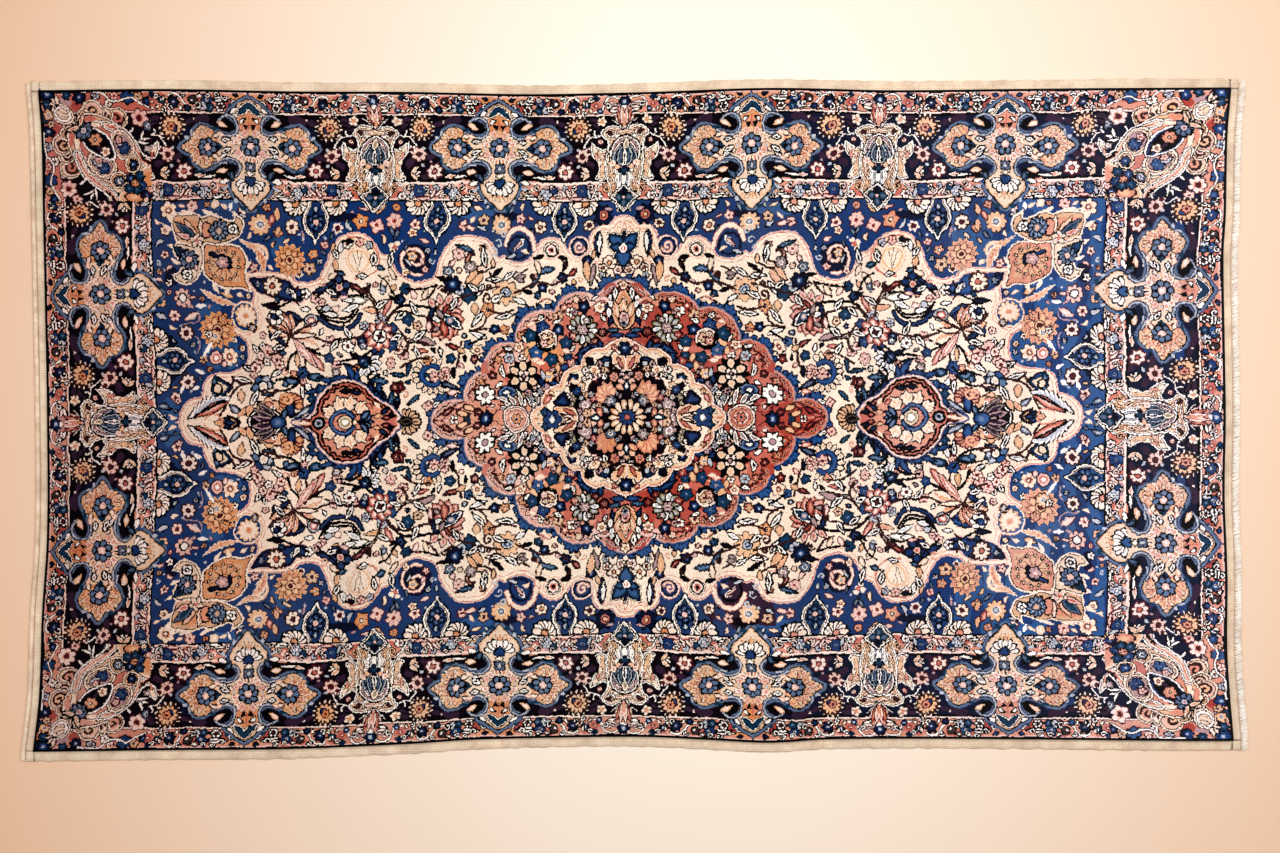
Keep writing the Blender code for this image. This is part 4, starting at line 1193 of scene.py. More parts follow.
def moreMotifs(chart):
    # thin stems that tie the growth of the cream field together
    draw(chart, """stem {all} | 1.1 brown @ 104 250 124 236 146 240 168 234 186 226 196 222,
      196 190 216 186 232 190 243 194, 222 232 246 226 262 224 278 217, 278 217 294 212 306 202 316 190,
      344 180 366 184 388 190 412 186 426 172, 352 134 376 140 398 148 418 152,
      436 176 440 196 450 210 462 226, 462 150 484 144 506 142 524 140 552 150,
      404 160 392 144 388 128 396 114, 540 176 556 170 574 160 588 150, 590 150 606 160 622 166 634 180,
      590 148 600 132 614 122 630 118, 350 108 366 110 384 104 400 92
    stem {all} | .9 ink @ 330 236 350 230 372 228 388 228, 398 210 410 222 420 240 436 250,
      250 150 266 140 281 132, 440 122 452 112 452 97, 475 92 490 100 513 99, 572 87 584 78 600 80 620 74,
      516 238 530 228 546 213, 562 222 580 214 608 203
    leaves 236 206 26 9 150 dark, 262 224 22 9 40 dark, 296 212 24 9 -60 dark, 366 184 26 9 60 dark,
      388 190 24 9 -40 dark, 376 140 28 9 140 dark, 398 148 22 9 -20 dark, 440 196 26 9 150 dark,
      484 144 26 9 60 dark, 506 142 24 9 -50 dark, 530 228 22 8 200 dark, 580 214 22 8 60 dark,
      606 160 26 9 -40 dark, 366 110 22 8 60 dark, 600 132 24 9 -10 dark
    # the third lobe of the cream field
    stem 486 318 462 316 442 304 432 284 437 262 454 249 476 246 | 1.6 salmon .6 rose
    patch 488 293 470 300 452 293 446 272 467 250 488 270 | 1 salmon 0 cream -3 apricot -6.6 cream
    stem {all} | .6 brown @ 462 290 466 276 468 258, 478 290 474 276 469 258, 470 296 469 280
    blossoms 467 309 8 5 pink, 488 306 8 5 ivory, 449 305 7 5 ice
    leaves 440 292 24 9 -80 dark, 505 282 22 9 60 dark, 500 292 18 8 96 ivory, 456 248 16 8 10 dark,
      478 312 14 6 -10 ink, 508 262 20 8 80 apricot, 494 254 18 7 20 teal, 412 266 28 9 100 dark,
      404 246 22 8 60 sand, 524 248 20 8 150 sand, 516 296 16 6 110 tan, 424 262 16 8 20 teal""")


def sprig(chart, place, size, turn, kind, bloomKind, swing):
    # a curved stem with leaves on both sides and a blossom at its end
    x, y = place
    c, s = math.cos(math.radians(turn)), math.sin(math.radians(turn))
    at = lambda along, across: (x + along * c - across * s, y + along * s + across * c)
    stem(chart, [at(-size, 0), at(-size * 0.2, swing * 0.25 * size), at(size * 0.6, 0)], (0.9, "brown"))
    for along, side in ((-0.7, 1), (-0.45, -1), (-0.1, 1), (0.15, -1)):
        leaf(chart, at(along * size, 0.12 * swing * size), size * 0.62, size * 0.3, turn + 46 * side,
             *foliage[kind])
    flower(chart, at(size * 0.62, 0), max(4.5, size * 0.36), 5, blooms[bloomKind], turn=turn)


def fillGaps(chart, ground, radii, leafKinds, bloomKinds, curlYarn, count=9000, seed=5):
    # small growth wherever a stretch of this ground would be left bare
    chooser = random.Random(seed)
    index = [yarnNames.index(name) for name in ground]
    for radius in radii:
        reach = int(radius / knot) + 1
        bare = np.isin(chart["yarn"], index)
        total = np.pad(np.cumsum(np.cumsum(~bare, 0), 1), ((1, 0), (1, 0)))
        side = 2 * reach + 1
        full = total[side:, side:] - total[:-side, side:] - total[side:, :-side] + total[:-side, :-side]
        places = np.argwhere(full == 0)
        if not len(places):
            continue
        picks = [chooser.randrange(len(places)) for _ in range(min(count, len(places) * 2))]
        for pick in picks:
            row, column = places[pick]
            window = chart["yarn"][row : row + side, column : column + side]
            if not np.isin(window, index).all():
                continue
            place = (chart["x"][column + reach], chart["y"][row + reach])
            turn = chooser.choice((20, 50, 75, 105, 130, 160, 200, 230, 290, 320)) + chooser.uniform(-9, 9)
            leafKind, bloomKind = chooser.choice(leafKinds), chooser.choice(bloomKinds)
            size = radius * 0.92
            roll = chooser.random()
            if radius > 11:
                sprig(chart, place, size, turn, leafKind, bloomKind, chooser.choice((-1, 1)))
            elif roll < 0.3:
                flower(chart, place, size * 0.8, chooser.choice((4, 5, 6)), blooms[bloomKind], turn=turn)
            elif roll < 0.85 or radius < 6:
                c, s = math.cos(math.radians(turn)), math.sin(math.radians(turn))
                leaf(chart, (place[0] - size * c, place[1] - size * s), 2 * size, max(4.2, size * 0.78),
                     turn, *foliage[leafKind],
                     bend=chooser.choice((-2, 0, 2)))
            else:
                curl(chart, place, size * 0.75, 0.9, turn, (1.0, curlYarn))


def drawCorner():
    # the corner of the border, where the two runs meet at a slanted leaf
    low = plan["fieldHalfLength"]
    corner = newChart(low, plan["halfLength"], plan["fieldHalfWidth"], plan["halfWidth"], "night")
    shift = low - plan["fieldHalfWidth"]
    away = np.maximum(corner["x"][None, :] - shift, corner["y"][:, None])
    for start, end, yarn in stripeRows:
        corner["yarn"][(away > start) & (away < end)] = yarnNames.index(yarn)
    # the same knots seen across the slanted middle line, for what stands on both sides of it
    across = {"x": corner["y"] + shift, "y": corner["x"] - shift, "yarn": corner["yarn"].T}
    draw(corner, """both oval {} {} {} {} 0 | 0 {} @ 870 553 16 9.6 rose, 905 552 18 10.8 salmon,
      950 545 18 10.8 red, 980 550 14 8.4 mauve, 1012 545 12 7.2 orange""", across=across)
    for x, y, radius, petals, kind in listed("""870 556 11 6 blue, 852 558 7 5 tan, 892 560 6 5 blush,
        903 549 7 5 ivory, 953 558 10 6 navy, 975 563 7 5 teal, 838 550 7 5 navy, 926 560 7 5 ice"""):
        for place in ((x, y), (y + shift, x - shift)):
            flower(corner, place, radius, petals, blooms[kind], turn=x)
    draw(corner, """flower 1008 562 14 7 | navy
    flower 1010 545 8 6 | teal
    both ribbon 836 540 850 548 866 556 884 551 900 553 910 563 930 566 948 565 | 2.6 ivory ink
    # flowers and branches on the dark ground at either side
    blossoms 851 522 15 6 blush, 836 508 8 6 slate, 978 402 15 7 blush, 964 384 9 5 pink, 838 470 8 5 grey,
      905 384 8 5 slate, 985 424 7 5 mauve
    both leaf {} {} {} 4 {} | 1.2 ink 0 ivory @ 856 483 22 168, 856 481 24 190, 850 484 18 110,
      870 497 12 130""", across=across)
    # bumps along the outer edge
    for x, y, radius, *yarns in listed("""893 521 17 sand salmon, 914 528 14 cream pink,
        932 534 17 pink apricot, 950 526 10 tan cream"""):
        for place in ((x, y), (y + shift, x - shift)):
            disc(corner, place, radius, (3.6, "ink"), (2.4, "cream"), (0.2, "ink"), (-1.2, "tan"),
                 (-2.4, yarns[0]), (-6.0, yarns[1]))
            curl(corner, place, radius - 4, 1.2, x, (1.2, "brown"))
    # the body, slanted, and its inner line
    draw(corner, """oval 914 464 76 48 45
      | 3.6 ink 2.4 cream .2 ink -1.2 tan -2.4 apricot -6 ink -7.2 cream -9.4 brown -10.6 pink -14 wine
      -15.2 salmon
    both oval {} {} {} {} 0 | 0 {} @ 940 520 12 5 salmon, 905 508 16 4 pink, 890 440 10 18 rose,
      962 480 4 20 apricot, 860 430 12 20 sand, 930 510 12 3 cream
    # long scrolls that end in hooks, one each way
    both patch 918 514 894 509 874 498 859 480 850 464 838 454 824 454 822 444 834 438 850 446 860 460 872
      480 886 494 912 503 | 3 ink 1.8 ivory -.4 ink -1.6 cream -3.6 salmon -5.4 wine -6.4 cream
    both stem 832 444 840 449 850 460 | 1 ink
    # two rounded lobes with blue rosettes, beside the dark lens
    oval {0} {1} 25 18 {2} | 3.2 ink 2 cream -.6 ink -1.8 sand -3.6 brown -4.8 mauve & flower {3} {4} 10 6
      | blue & leaf {5} {6} 18 8 {2} | ice & flower {7} {8} 6 5 | pink
      @ 884 476 60 881 471 886 474 890 484, 920 441 30 917 436 922 439 926 449
    disc {} {} 13 | 2.6 ink 1.4 cream -.8 ink -2 tan & flower {} {} 8 6 | {} @ 866 444 865 443 navy,
      891 417 890 416 slate
    patch 899 452 901 470 909 486 922 497 938 503 952 500 954 487 947 473 935 462 917 454
      | 3.6 ink 2.2 ivory -.6 navy -3.5 ink
    flower 932 484 11 6 | orange
    flower 914 464 8 5 | cream
    oval 925 470 8 3 45 | 0 violet
    oval 953 501 6 4 {} | 1.2 ink 0 slate -1.8 sky | out 9 @ every 8 0
    disc 953 501 5 | 1 ink 0 ice -2.6 rose
    leaf 960 508 22 7 {} | 1.4 ink 0 sand -2.2 salmon @ 5, 28, 50, 72, 95, -18, 115
    # the blossoms at the inner corner
    patch 826 436 826 376 886 376 884 398 872 412 862 424 846 436 | 2.8 ink 1.6 cream -1 apricot -5 tan
    oval 838 418 7 14 0 | 0 orange
    oval 864 388 15 8 0 | 1 brown 0 orange -4 apricot
    flower {0} {1} {2} 6 | {3} | turn {0} @ 853 424 8 teal, 851 408 8 blue, 860 401 8 teal, 873 403 8 teal,
      870 420 8 navy, 862 412 6 orange, 843 390 10 navy, 845 384 5 cream, 836 400 5 pink
    # the ribbed roundel
    oval 984 531 17 14 45 | 3 ink 1.8 cream -.6 ink -1.8 ivory -5 wine -6 sand
    stem {all} | .6 ink @ 971 536 979 538 987 544, 976 531 984 533 992 539, 981 526 989 528 997 534
    leaf 990 546 16 6 {} | 1.2 ink 0 cream @ 0, 40, 80
    blossoms 1009 528 9 6 apricot, 1006 514 7 5 tan""", across=across)
    return corner


borderRun = drawBorderRun()
field = drawField()


def wholeChart():
    # the quarter of field, borders and corner, mirrored to all four
    quarter = np.zeros((428, 768), np.int8)
    rows, columns, hang = 285, 625, 15
    quarter[:rows, :columns] = field["yarn"]
    wave = np.arange(660) % 330
    wave = np.where(wave < 165, wave, 329 - wave)
    run = borderRun["yarn"]
    strip = run[:, wave[:columns]]
    under = quarter[rows - hang :, :columns]
    under[strip >= 0] = strip[strip >= 0]
    strip = run[:, wave[:rows]].T
    under = quarter[:rows, columns - hang :]
    under[strip >= 0] = strip[strip >= 0]
    quarter[rows:, columns:] = drawCorner()["yarn"]
    half = np.concatenate([quarter[:, ::-1], quarter], 1)
    return dyeChanges(handWoven(np.concatenate([half[::-1], half], 0)))


chance = np.random.default_rng(17)


def drift(shape, pitch, size):
    # a wandering amount, one number to a knot, that changes over so many knots
    coarse = chance.normal(0, size, (shape[0] // pitch + 2, shape[1] // pitch + 2))
    r, c = np.arange(shape[0]) / pitch, np.arange(shape[1]) / pitch
    r0, c0 = r.astype(int), c.astype(int)
    down, right = (r - r0)[:, None], (c - c0)[None, :]
    low = coarse[r0][:, c0] * (1 - right) + coarse[r0][:, c0 + 1] * right
    high = coarse[r0 + 1][:, c0] * (1 - right) + coarse[r0 + 1][:, c0 + 1] * right
    return low * (1 - down) + high * down


def handWoven(knots):
    # no line is quite true: each strays a knot or so from the drawing
    rows, columns = np.indices(knots.shape)
    rows = rows + drift(knots.shape, 3, 0.5) + drift(knots.shape, 22, 1.0)
    columns = columns + drift(knots.shape, 3, 0.5) + drift(knots.shape, 22, 1.0)
    rows = np.clip(np.rint(rows), 0, knots.shape[0] - 1).astype(int)
    columns = np.clip(np.rint(columns), 0, knots.shape[1] - 1).astype(int)
    woven = knots[rows, columns]
    for edge in (woven[:3], woven[-3:], woven[:, :3], woven[:, -3:]):
        edge[:] = yarnNames.index("ink")
    return woven


def dyeChanges(knots):
    # other dye lots: the medallion is paler red at the left and deeper at the right
    rows, columns = np.indices(knots.shape)
    x = (columns - knots.shape[1] / 2) * knot
    y = (rows - knots.shape[0] / 2) * knot
    stray = drift(knots.shape, 14, 1.0)
    body = (np.abs(x) / 350) ** 1.5 + (np.abs(y) / 240) ** 1.5 < 1
    heart = (np.abs(x) / 165) ** 1.4 + (np.abs(y) / 132) ** 1.4 < 1
    for place, changes in (
        (body & ~heart & (x > 40 + 30 * stray), {"rose": "red", "salmon": "rose", "pink": "salmon",
                "orange": "rose"}),
        (body & ~heart & (x < -60 + 40 * stray), {"red": "rose", "rose": "salmon"}),
        ((np.abs(x - 215) < 45 + 20 * stray) & (np.abs(y + 300) < 60 + 16 * stray),
         {"blue": "violet", "navy": "night", "royal": "violet"}),
        ((x > 560) & (np.abs(x % 47 - 20) < 12 + 5 * stray), {"blue": "royal", "navy": "blue"}),
        (x > 260 + 60 * stray, {"orange": "salmon", "night": "navy"}),
        (heart & (stray > -0.4), {"orange": "apricot", "grey": "mauve", "slate": "grey"}),
        ((x < -820) & (y > 400), {"salmon": "rose", "blush": "pink", "apricot": "tan"}),
        ((x < -560) & (np.abs(x % 61 - 20) < 3 + 4 * stray), {"royal": "blue"}),
    ):
        swap = np.arange(len(yarnNames))
        for old, new in changes.items():
            swap[yarnNames.index(old)] = yarnNames.index(new)
        knots = np.where(place, swap[knots], knots)
    return knots


fullChart = wholeChart()

print("knot chart", fullChart.shape)


# the rug's outline, as it lies: stations in millimetres, as in the CAD
outline = {
    "back": ((-1042, 579), (-811, 581), (-601, 577), (-391, 576), (-181, 572), (29, 576), (239, 583),
             (449, 579), (659, 581), (869, 583), (1047, 584)),
    "front": ((-1051, 579), (-811, 576), (-601, 574), (-391, 565), (-286, 558), (-76, 553), (29, 553),
              (134, 558), (239, 563), (344, 557), (554, 556), (974, 560), (1051, 560)),
    "left": ((-579, 1051), (-480, 1040), (-340, 1035), (-200, 1026), (10, 1026), (220, 1030), (360, 1033),
             (500, 1036), (579, 1042)),
    "right": ((-560, 1051), (-410, 1040), (-270, 1040), (-130, 1035), (10, 1037), (290, 1033), (360, 1037),
              (500, 1040), (584, 1047)),
}
rugShape = {
    "blocksLong": 384,  # each block of the mesh carries four by four knots
    "blocksWide": 214,
    "pileHeight": 8.0,
    "bandHeight": 3.0,
    "bandWidths": {"left": 14.0, "right": 14.0, "front": 18.5, "back": 17.5},
    "longStops": ((-1024.0, 0.0), (-833.33, 0.0925), (0.0, 0.4918), (833.33, 0.897), (1024.0, 1.0)),
    "wideStops": ((-570.67, 0.0), (-380.0, 0.162), (0.0, 0.4958), (380.0, 0.8313), (570.67, 1.0)),
    "swells": ((0.07, -0.93, 150, 0.9), (0.24, -0.86, 120, -0.6), (-0.42, -0.80, 220, 0.7),
               (-0.78, 0.62, 200, 0.6),
               (0.70, 0.55, 240, 0.5), (0.35, 0.20, 260, -0.5), (-0.30, 0.10, 260, 0.5),
               (0.88, -0.55, 160, 0.6)),
}


def reachAt(side, share):
    # along the side and out from the middle, on a smooth curve through the stations
    rows = np.array(outline[side], float)
    share = np.asarray(share, float)
    along = rows[0, 0] + share * (rows[-1, 0] - rows[0, 0])
    span = np.clip(np.searchsorted(rows[:, 0], along) - 1, 0, len(rows) - 2)
    start, end = rows[span], rows[span + 1]
    before, after = rows[np.maximum(span - 1, 0)], rows[np.minimum(span + 2, len(rows) - 1)]
    wide = end[..., 0] - start[..., 0]
    slopeIn = (end[..., 1] - before[..., 1]) / (end[..., 0] - before[..., 0]) * wide
    slopeOut = (after[..., 1] - start[..., 1]) / (after[..., 0] - start[..., 0]) * wide
    t = (along - start[..., 0]) / wide
    out = ((2 * t**3 - 3 * t**2 + 1) * start[..., 1] + (t**3 - 2 * t**2 + t) * slopeIn
           + (3 * t**2 - 2 * t**3) * end[..., 1] + (t**3 - t**2) * slopeOut)
    return along, out


def pilePlace(u, v):
    # a place on the pile's plan from shares along (u) and across (v), two matching arrays
    frontX, frontOut = reachAt("front", u)
    backX, backOut = reachAt("back", u)
    leftY, leftOut = reachAt("left", v)
    rightY, rightOut = reachAt("right", v)
    front, back = outline["front"], outline["back"]
    sidesX = (1 - v) * frontX + v * backX
    sidesY = (1 - v) * -frontOut + v * backOut
    endsX = (1 - u) * -leftOut + u * rightOut
    endsY = (1 - u) * leftY + u * rightY
    cornersX = ((1 - u) * ((1 - v) * front[0][0] + v * back[0][0])
                + u * ((1 - v) * front[-1][0] + v * back[-1][0]))
    cornersY = ((1 - v) * -((1 - u) * front[0][1] + u * front[-1][1])
                + v * ((1 - u) * back[0][1] + u * back[-1][1]))
    return sidesX + endsX - cornersX, sidesY + endsY - cornersY


def boxMiddle():
    shares = np.linspace(0, 1, 401)
    reach = {side: reachAt(side, shares)[1].max() for side in outline}
    wide = rugShape["bandWidths"]
    left = reach["left"] + wide["left"] + seamGap + bindingShape["left"]["width"]
    right = reach["right"] + wide["right"] + seamGap + bindingShape["right"]["width"]
    return (right - left) / 2, (reach["back"] + wide["back"] - reach["front"] - wide["front"]) / 2


seamGap = 0.3
bindingShape = {
    "left": {"width": 9.0, "height": 4.4, "pitch": 3.1, "thread": 1.5, "slant": 1.6, "rough": 0.35,
             "outward": -1},
    "right": {"width": 14.0, "height": 4.4, "pitch": 3.4, "thread": 1.6, "slant": 2.6, "rough": 0.8,
              "outward": 1},
}
middleX, middleY = boxMiddle()


def gridLines(count, stops, before, after):
    # lines across the rug: share of the pile, how far outside it in millimetres, and height
    band = ((1.0, 0.0, 1.7), (1.0, -1.4, 2.9), (0.62, 0.0, 3.2), (0.3, 0.0, 2.9), (0.0, 0.7, 3.0))
    low, high = stops[0][0], stops[-1][0]
    design = low + (high - low) * np.arange(count + 1) / count
    shares = np.interp(design, *zip(*stops))
    lines = [(0.0, -(part * before + extra), height) for part, extra, height in band]
    lines.append((0.0, 0.2, 6.2))
    lines += [(share, 0.0, rugShape["pileHeight"]) for share in shares]
    lines.append((1.0, -0.2, 6.2))
    lines += [(1.0, part * after + extra, height) for part, extra, height in band[::-1]]
    return np.array(lines)


def slowNoise(x, y, reach, seed):
    # a smooth wandering value between about -1 and 1
    chooser = random.Random(seed)
    total = 0
    for _ in range(7):
        turn, phase = chooser.uniform(0, math.pi), chooser.uniform(0, 6.28)
        pitch = reach * chooser.uniform(0.6, 1.8)
        total = total + np.sin((x * math.cos(turn) + y * math.sin(turn)) / pitch * 6.28 + phase)
    return total / 3.2


def read(items, name, size, kind):
    # one value of each vertex, loop or face
    values = np.empty(len(items) * size, kind)
    items.foreach_get(name, values)
    return values


def lay(layer, x, y):
    layer.data.foreach_set("uv", np.stack([x, y], -1).astype(np.float32).ravel())


def makeRug():
    long, wide = rugShape["blocksLong"], rugShape["blocksWide"]
    widths = rugShape["bandWidths"]
    columns = gridLines(long, rugShape["longStops"], widths["left"], widths["right"])
    rows = gridLines(wide, rugShape["wideStops"], widths["front"], widths["back"])
    across, up = len(columns) - 1, len(rows) - 1
    ring = (across - long) // 2  # band and edge lines outside the first block
    bpy.ops.object.select_all(action="DESELECT")
    bpy.ops.mesh.primitive_grid_add(x_subdivisions=across, y_subdivisions=up, size=2)
    rug = bpy.context.object
    rug.name = rug.data.name = "knottedRug"
    # the rim goes down to the floor and is closed underneath
    bpy.ops.object.mode_set(mode="EDIT")
    bpy.ops.mesh.select_mode(type="EDGE")
    bpy.ops.mesh.select_all(action="DESELECT")
    bpy.ops.mesh.select_non_manifold()
    bpy.ops.mesh.extrude_region_move(TRANSFORM_OT_translate={"value": (0, 0, -1)})
    bpy.ops.mesh.edge_face_add()
    bpy.ops.object.mode_set(mode="OBJECT")
    mesh = rug.data
    places = read(mesh.vertices, "co", 3, np.float32).reshape(-1, 3)
    column = np.rint((places[:, 0] + 1) / 2 * across).astype(int)
    row = np.rint((places[:, 1] + 1) / 2 * up).astype(int)
    onTop = places[:, 2] > -0.5
    faceLoops = read(mesh.loops, "vertex_index", 1, np.int32)
    starts = read(mesh.polygons, "loop_start", 1, np.int32)
    totals = read(mesh.polygons, "loop_total", 1, np.int32)
    firstColumn = np.minimum.reduceat(column[faceLoops], starts)
    firstRow = np.minimum.reduceat(row[faceLoops], starts)
    topFace = np.minimum.reduceat(onTop[faceLoops].astype(int), starts) == 1
    under = totals > 4
    # every point to its own place
    u, v = columns[column, 0], rows[row, 0]
    x, y = pilePlace(u, v)
    x = x + columns[column, 1]
    y = y + rows[row, 1]
    fade = np.clip(np.minimum(np.minimum(u, 1 - u) * 2096, np.minimum(v, 1 - v) * 1154) / 90, 0, 1)
    x = x + fade * 2.0 * slowNoise(x, y, 330, 21)
    y = y + fade * 1.6 * slowNoise(x, y, 300, 22)
    height = np.minimum(columns[column, 2], rows[row, 2])
    pile = height >= rugShape["pileHeight"]
    lift = 0
    for shareX, shareY, reach, rise in rugShape["swells"]:
        lift = lift + rise * np.exp(-((x - shareX * 1047) ** 2 + (y - shareY * 579) ** 2) / reach**2)
    tufts = np.random.default_rng(12).normal(0, 1, len(x))
    edgeWeave = height < 3.4
    height = np.where(pile, height + lift * fade + 0.16 * np.clip(tufts, -2, 2), height)
    wander = 0.9 * slowNoise(x, 0 * x, 40, 31) + 0.5 * slowNoise(x, y, 14, 32) - 0.8
    y = y + np.where(edgeWeave & (np.abs(rows[row, 1]) > 6), np.sign(rows[row, 1]) * wander, 0)
    height = height + np.where(edgeWeave, 0.22 * slowNoise(x, y, 30, 33), 0)
    places[:, 0] = (x - middleX) * mm
    places[:, 1] = (y - middleY) * mm
    places[:, 2] = np.where(onTop, height * mm, 0)
    mesh.vertices.foreach_set("co", places.ravel())
    # the chart, four by four knots to a face
    blockX = np.clip(firstColumn - ring, 0, long - 1)
    blockY = np.clip(firstRow - ring, 0, wide - 1)
    for step in range(4):
        layer = mesh.attributes.new("knotRow%d" % step, "FLOAT_COLOR", "FACE")
        values = [fullChart[blockY * 4 + step, blockX * 4 + k] / 31.0 for k in range(4)]
        layer.data.foreach_set("color", np.stack(values, -1).astype(np.float32).ravel())
    # within a face the cell runs from 0 to 1; the place counts knots over the whole pile
    cell = mesh.uv_layers.new(name="knotCell")
    faceOf = np.repeat(np.arange(len(starts)), totals)
    lay(cell, column[faceLoops] - firstColumn[faceOf], row[faceLoops] - firstRow[faceOf])
    knots = mesh.uv_layers.new(name="knotPlace")
    lay(knots, (column[faceLoops] - ring) * 4.0, (row[faceLoops] - ring) * 4.0)
    # a flat map for baking: the top fills most of it, the underside a strip
    flat = mesh.uv_layers.new(name="OFBake")
    spanX = (places[:, 0] - places[:, 0].min()) / np.ptp(places[:, 0])
    spanY = (places[:, 1] - places[:, 1].min()) / np.ptp(places[:, 1])
    below = under[faceOf]
    flatX = 0.003 + 0.994 * spanX[faceLoops]
    flatY = np.where(below, 0.93 + 0.066 * spanY[faceLoops], 0.006 + 0.905 * spanY[faceLoops])
    drop = (~topFace & ~under)[faceOf] & ~onTop[faceLoops]  # the rim's lower edge, just outside the top
    endX, endY = spanX[faceLoops], spanY[faceLoops]
    flatX = flatX + np.where(drop, np.where(endX < 0.01, -0.0025, np.where(endX > 0.99, 0.0025, 0)), 0)
    flatY = flatY + np.where(drop, np.where(endY < 0.02, -0.005, np.where(endY > 0.98, 0.005, 0)), 0)
    lay(flat, flatX, flatY)
    mesh.uv_layers.active = flat
    inPile = topFace & (firstColumn >= ring - 2) & (firstColumn <= across - ring + 1)
    inPile &= (firstRow >= ring - 2) & (firstRow <= up - ring + 1)
    mesh.materials.append(pileMaterial())
    mesh.materials.append(bandMaterial())
    mesh.polygons.foreach_set("material_index", np.where(inPile, 0, 1).astype(np.int32))
    mesh.polygons.foreach_set("use_smooth", np.ones(len(starts), bool))
    mesh.update()
    return rug


def linear(colour):
    # sRGB parts of 255 to the linear values that a shader takes
    parts = [c / 255 / 12.92 if c <= 10 else ((c / 255 + 0.055) / 1.055) ** 2.4 for c in colour]
    return (*parts, 1.0)


def add(tree, kind, links=(), **values):
    # one node: sockets set or linked by name or number, properties by name
    made = tree.nodes.new(kind)
    for name, value in values.items():
        setattr(made, name, value)
    for socket, value in links:
        if isinstance(value, bpy.types.NodeSocket):
            tree.links.new(value, made.inputs[socket])
        else:
            made.inputs[socket].default_value = value
    return made


def sums(tree, operation, a, b=None, c=None):
    links = [(i, value) for i, value in enumerate((a, b, c)) if value is not None]
    return add(tree, "ShaderNodeMath", links, operation=operation).outputs[0]


def remap(tree, value, low, high, newLow, newHigh):
    ends = zip(("Value", "From Min", "From Max", "To Min", "To Max"), (value, low, high, newLow, newHigh))
    return add(tree, "ShaderNodeMapRange", ends).outputs[0]


def noise(tree, place, scale, detail, roughness=0.5):
    links = [("Vector", place), ("Scale", scale), ("Detail", detail), ("Roughness", roughness)]
    return add(tree, "ShaderNodeTexNoise", links).outputs[0]


def mixed(tree, share, first, second, blend="MIX"):
    links = [(0, share), (6, first), (7, second)]
    return add(tree, "ShaderNodeMix", links, data_type="RGBA", blend_type=blend).outputs[2]


def ownPlace(tree):
    return add(tree, "ShaderNodeTexCoord").outputs["Object"]


def waves(tree, place, scale, distortion, detail, detailScale, way):
    links = [("Vector", place), ("Scale", scale), ("Distortion", distortion), ("Detail", detail)]
    links.append(("Detail Scale", detailScale))
    return add(tree, "ShaderNodeTexWave", links, bands_direction=way).outputs["Fac"]


def surface(tree, shader, colour, height, strength, distance):
    tree.links.new(colour, shader.inputs["Base Color"])
    links = [("Height", height), ("Strength", strength), ("Distance", distance * mm)]
    tree.links.new(add(tree, "ShaderNodeBump", links).outputs[0], shader.inputs["Normal"])


def fibreGroup():
    # wool and cotton fibres: a shade to multiply the colour by, and a height for bump
    group = bpy.data.node_groups.new("fibres", "ShaderNodeTree")
    for name, kind, way in (("place", "Vector", "INPUT"), ("size", "Float", "INPUT"),
                            ("contrast", "Float", "INPUT"),
                            ("shade", "Float", "OUTPUT"), ("height", "Float", "OUTPUT")):
        group.interface.new_socket(name=name, in_out=way, socket_type="NodeSocket" + kind)
    inside = add(group, "NodeGroupInput")
    coarse = noise(group, inside.outputs["place"], inside.outputs["size"], 4.0, 0.7)
    slow = noise(group, inside.outputs["place"], 14.0, 3.0)
    both = sums(group, "ADD", coarse, slow)
    swing = sums(group, "MULTIPLY", sums(group, "SUBTRACT", both, 1.0), inside.outputs["contrast"])
    outside = add(group, "NodeGroupOutput")
    group.links.new(sums(group, "ADD", swing, 1.0), outside.inputs["shade"])
    group.links.new(coarse, outside.inputs["height"])
    return group


def newMaterial(name, roughness, sheen, sheenRoughness):
    material = bpy.data.materials.new(name)
    material.use_nodes = True
    shader = material.node_tree.nodes["Principled BSDF"]
    shader.inputs["Roughness"].default_value = roughness
    shader.inputs["Specular IOR Level"].default_value = 0.03
    shader.inputs["Sheen Weight"].default_value = sheen
    shader.inputs["Sheen Roughness"].default_value = sheenRoughness
    return material, material.node_tree, shader


def fibres(tree, size, contrast):
    group = add(tree, "ShaderNodeGroup", node_tree=fibreNodes)
    tree.links.new(ownPlace(tree), group.inputs["place"])
    group.inputs["size"].default_value = size
    group.inputs["contrast"].default_value = contrast
    return group


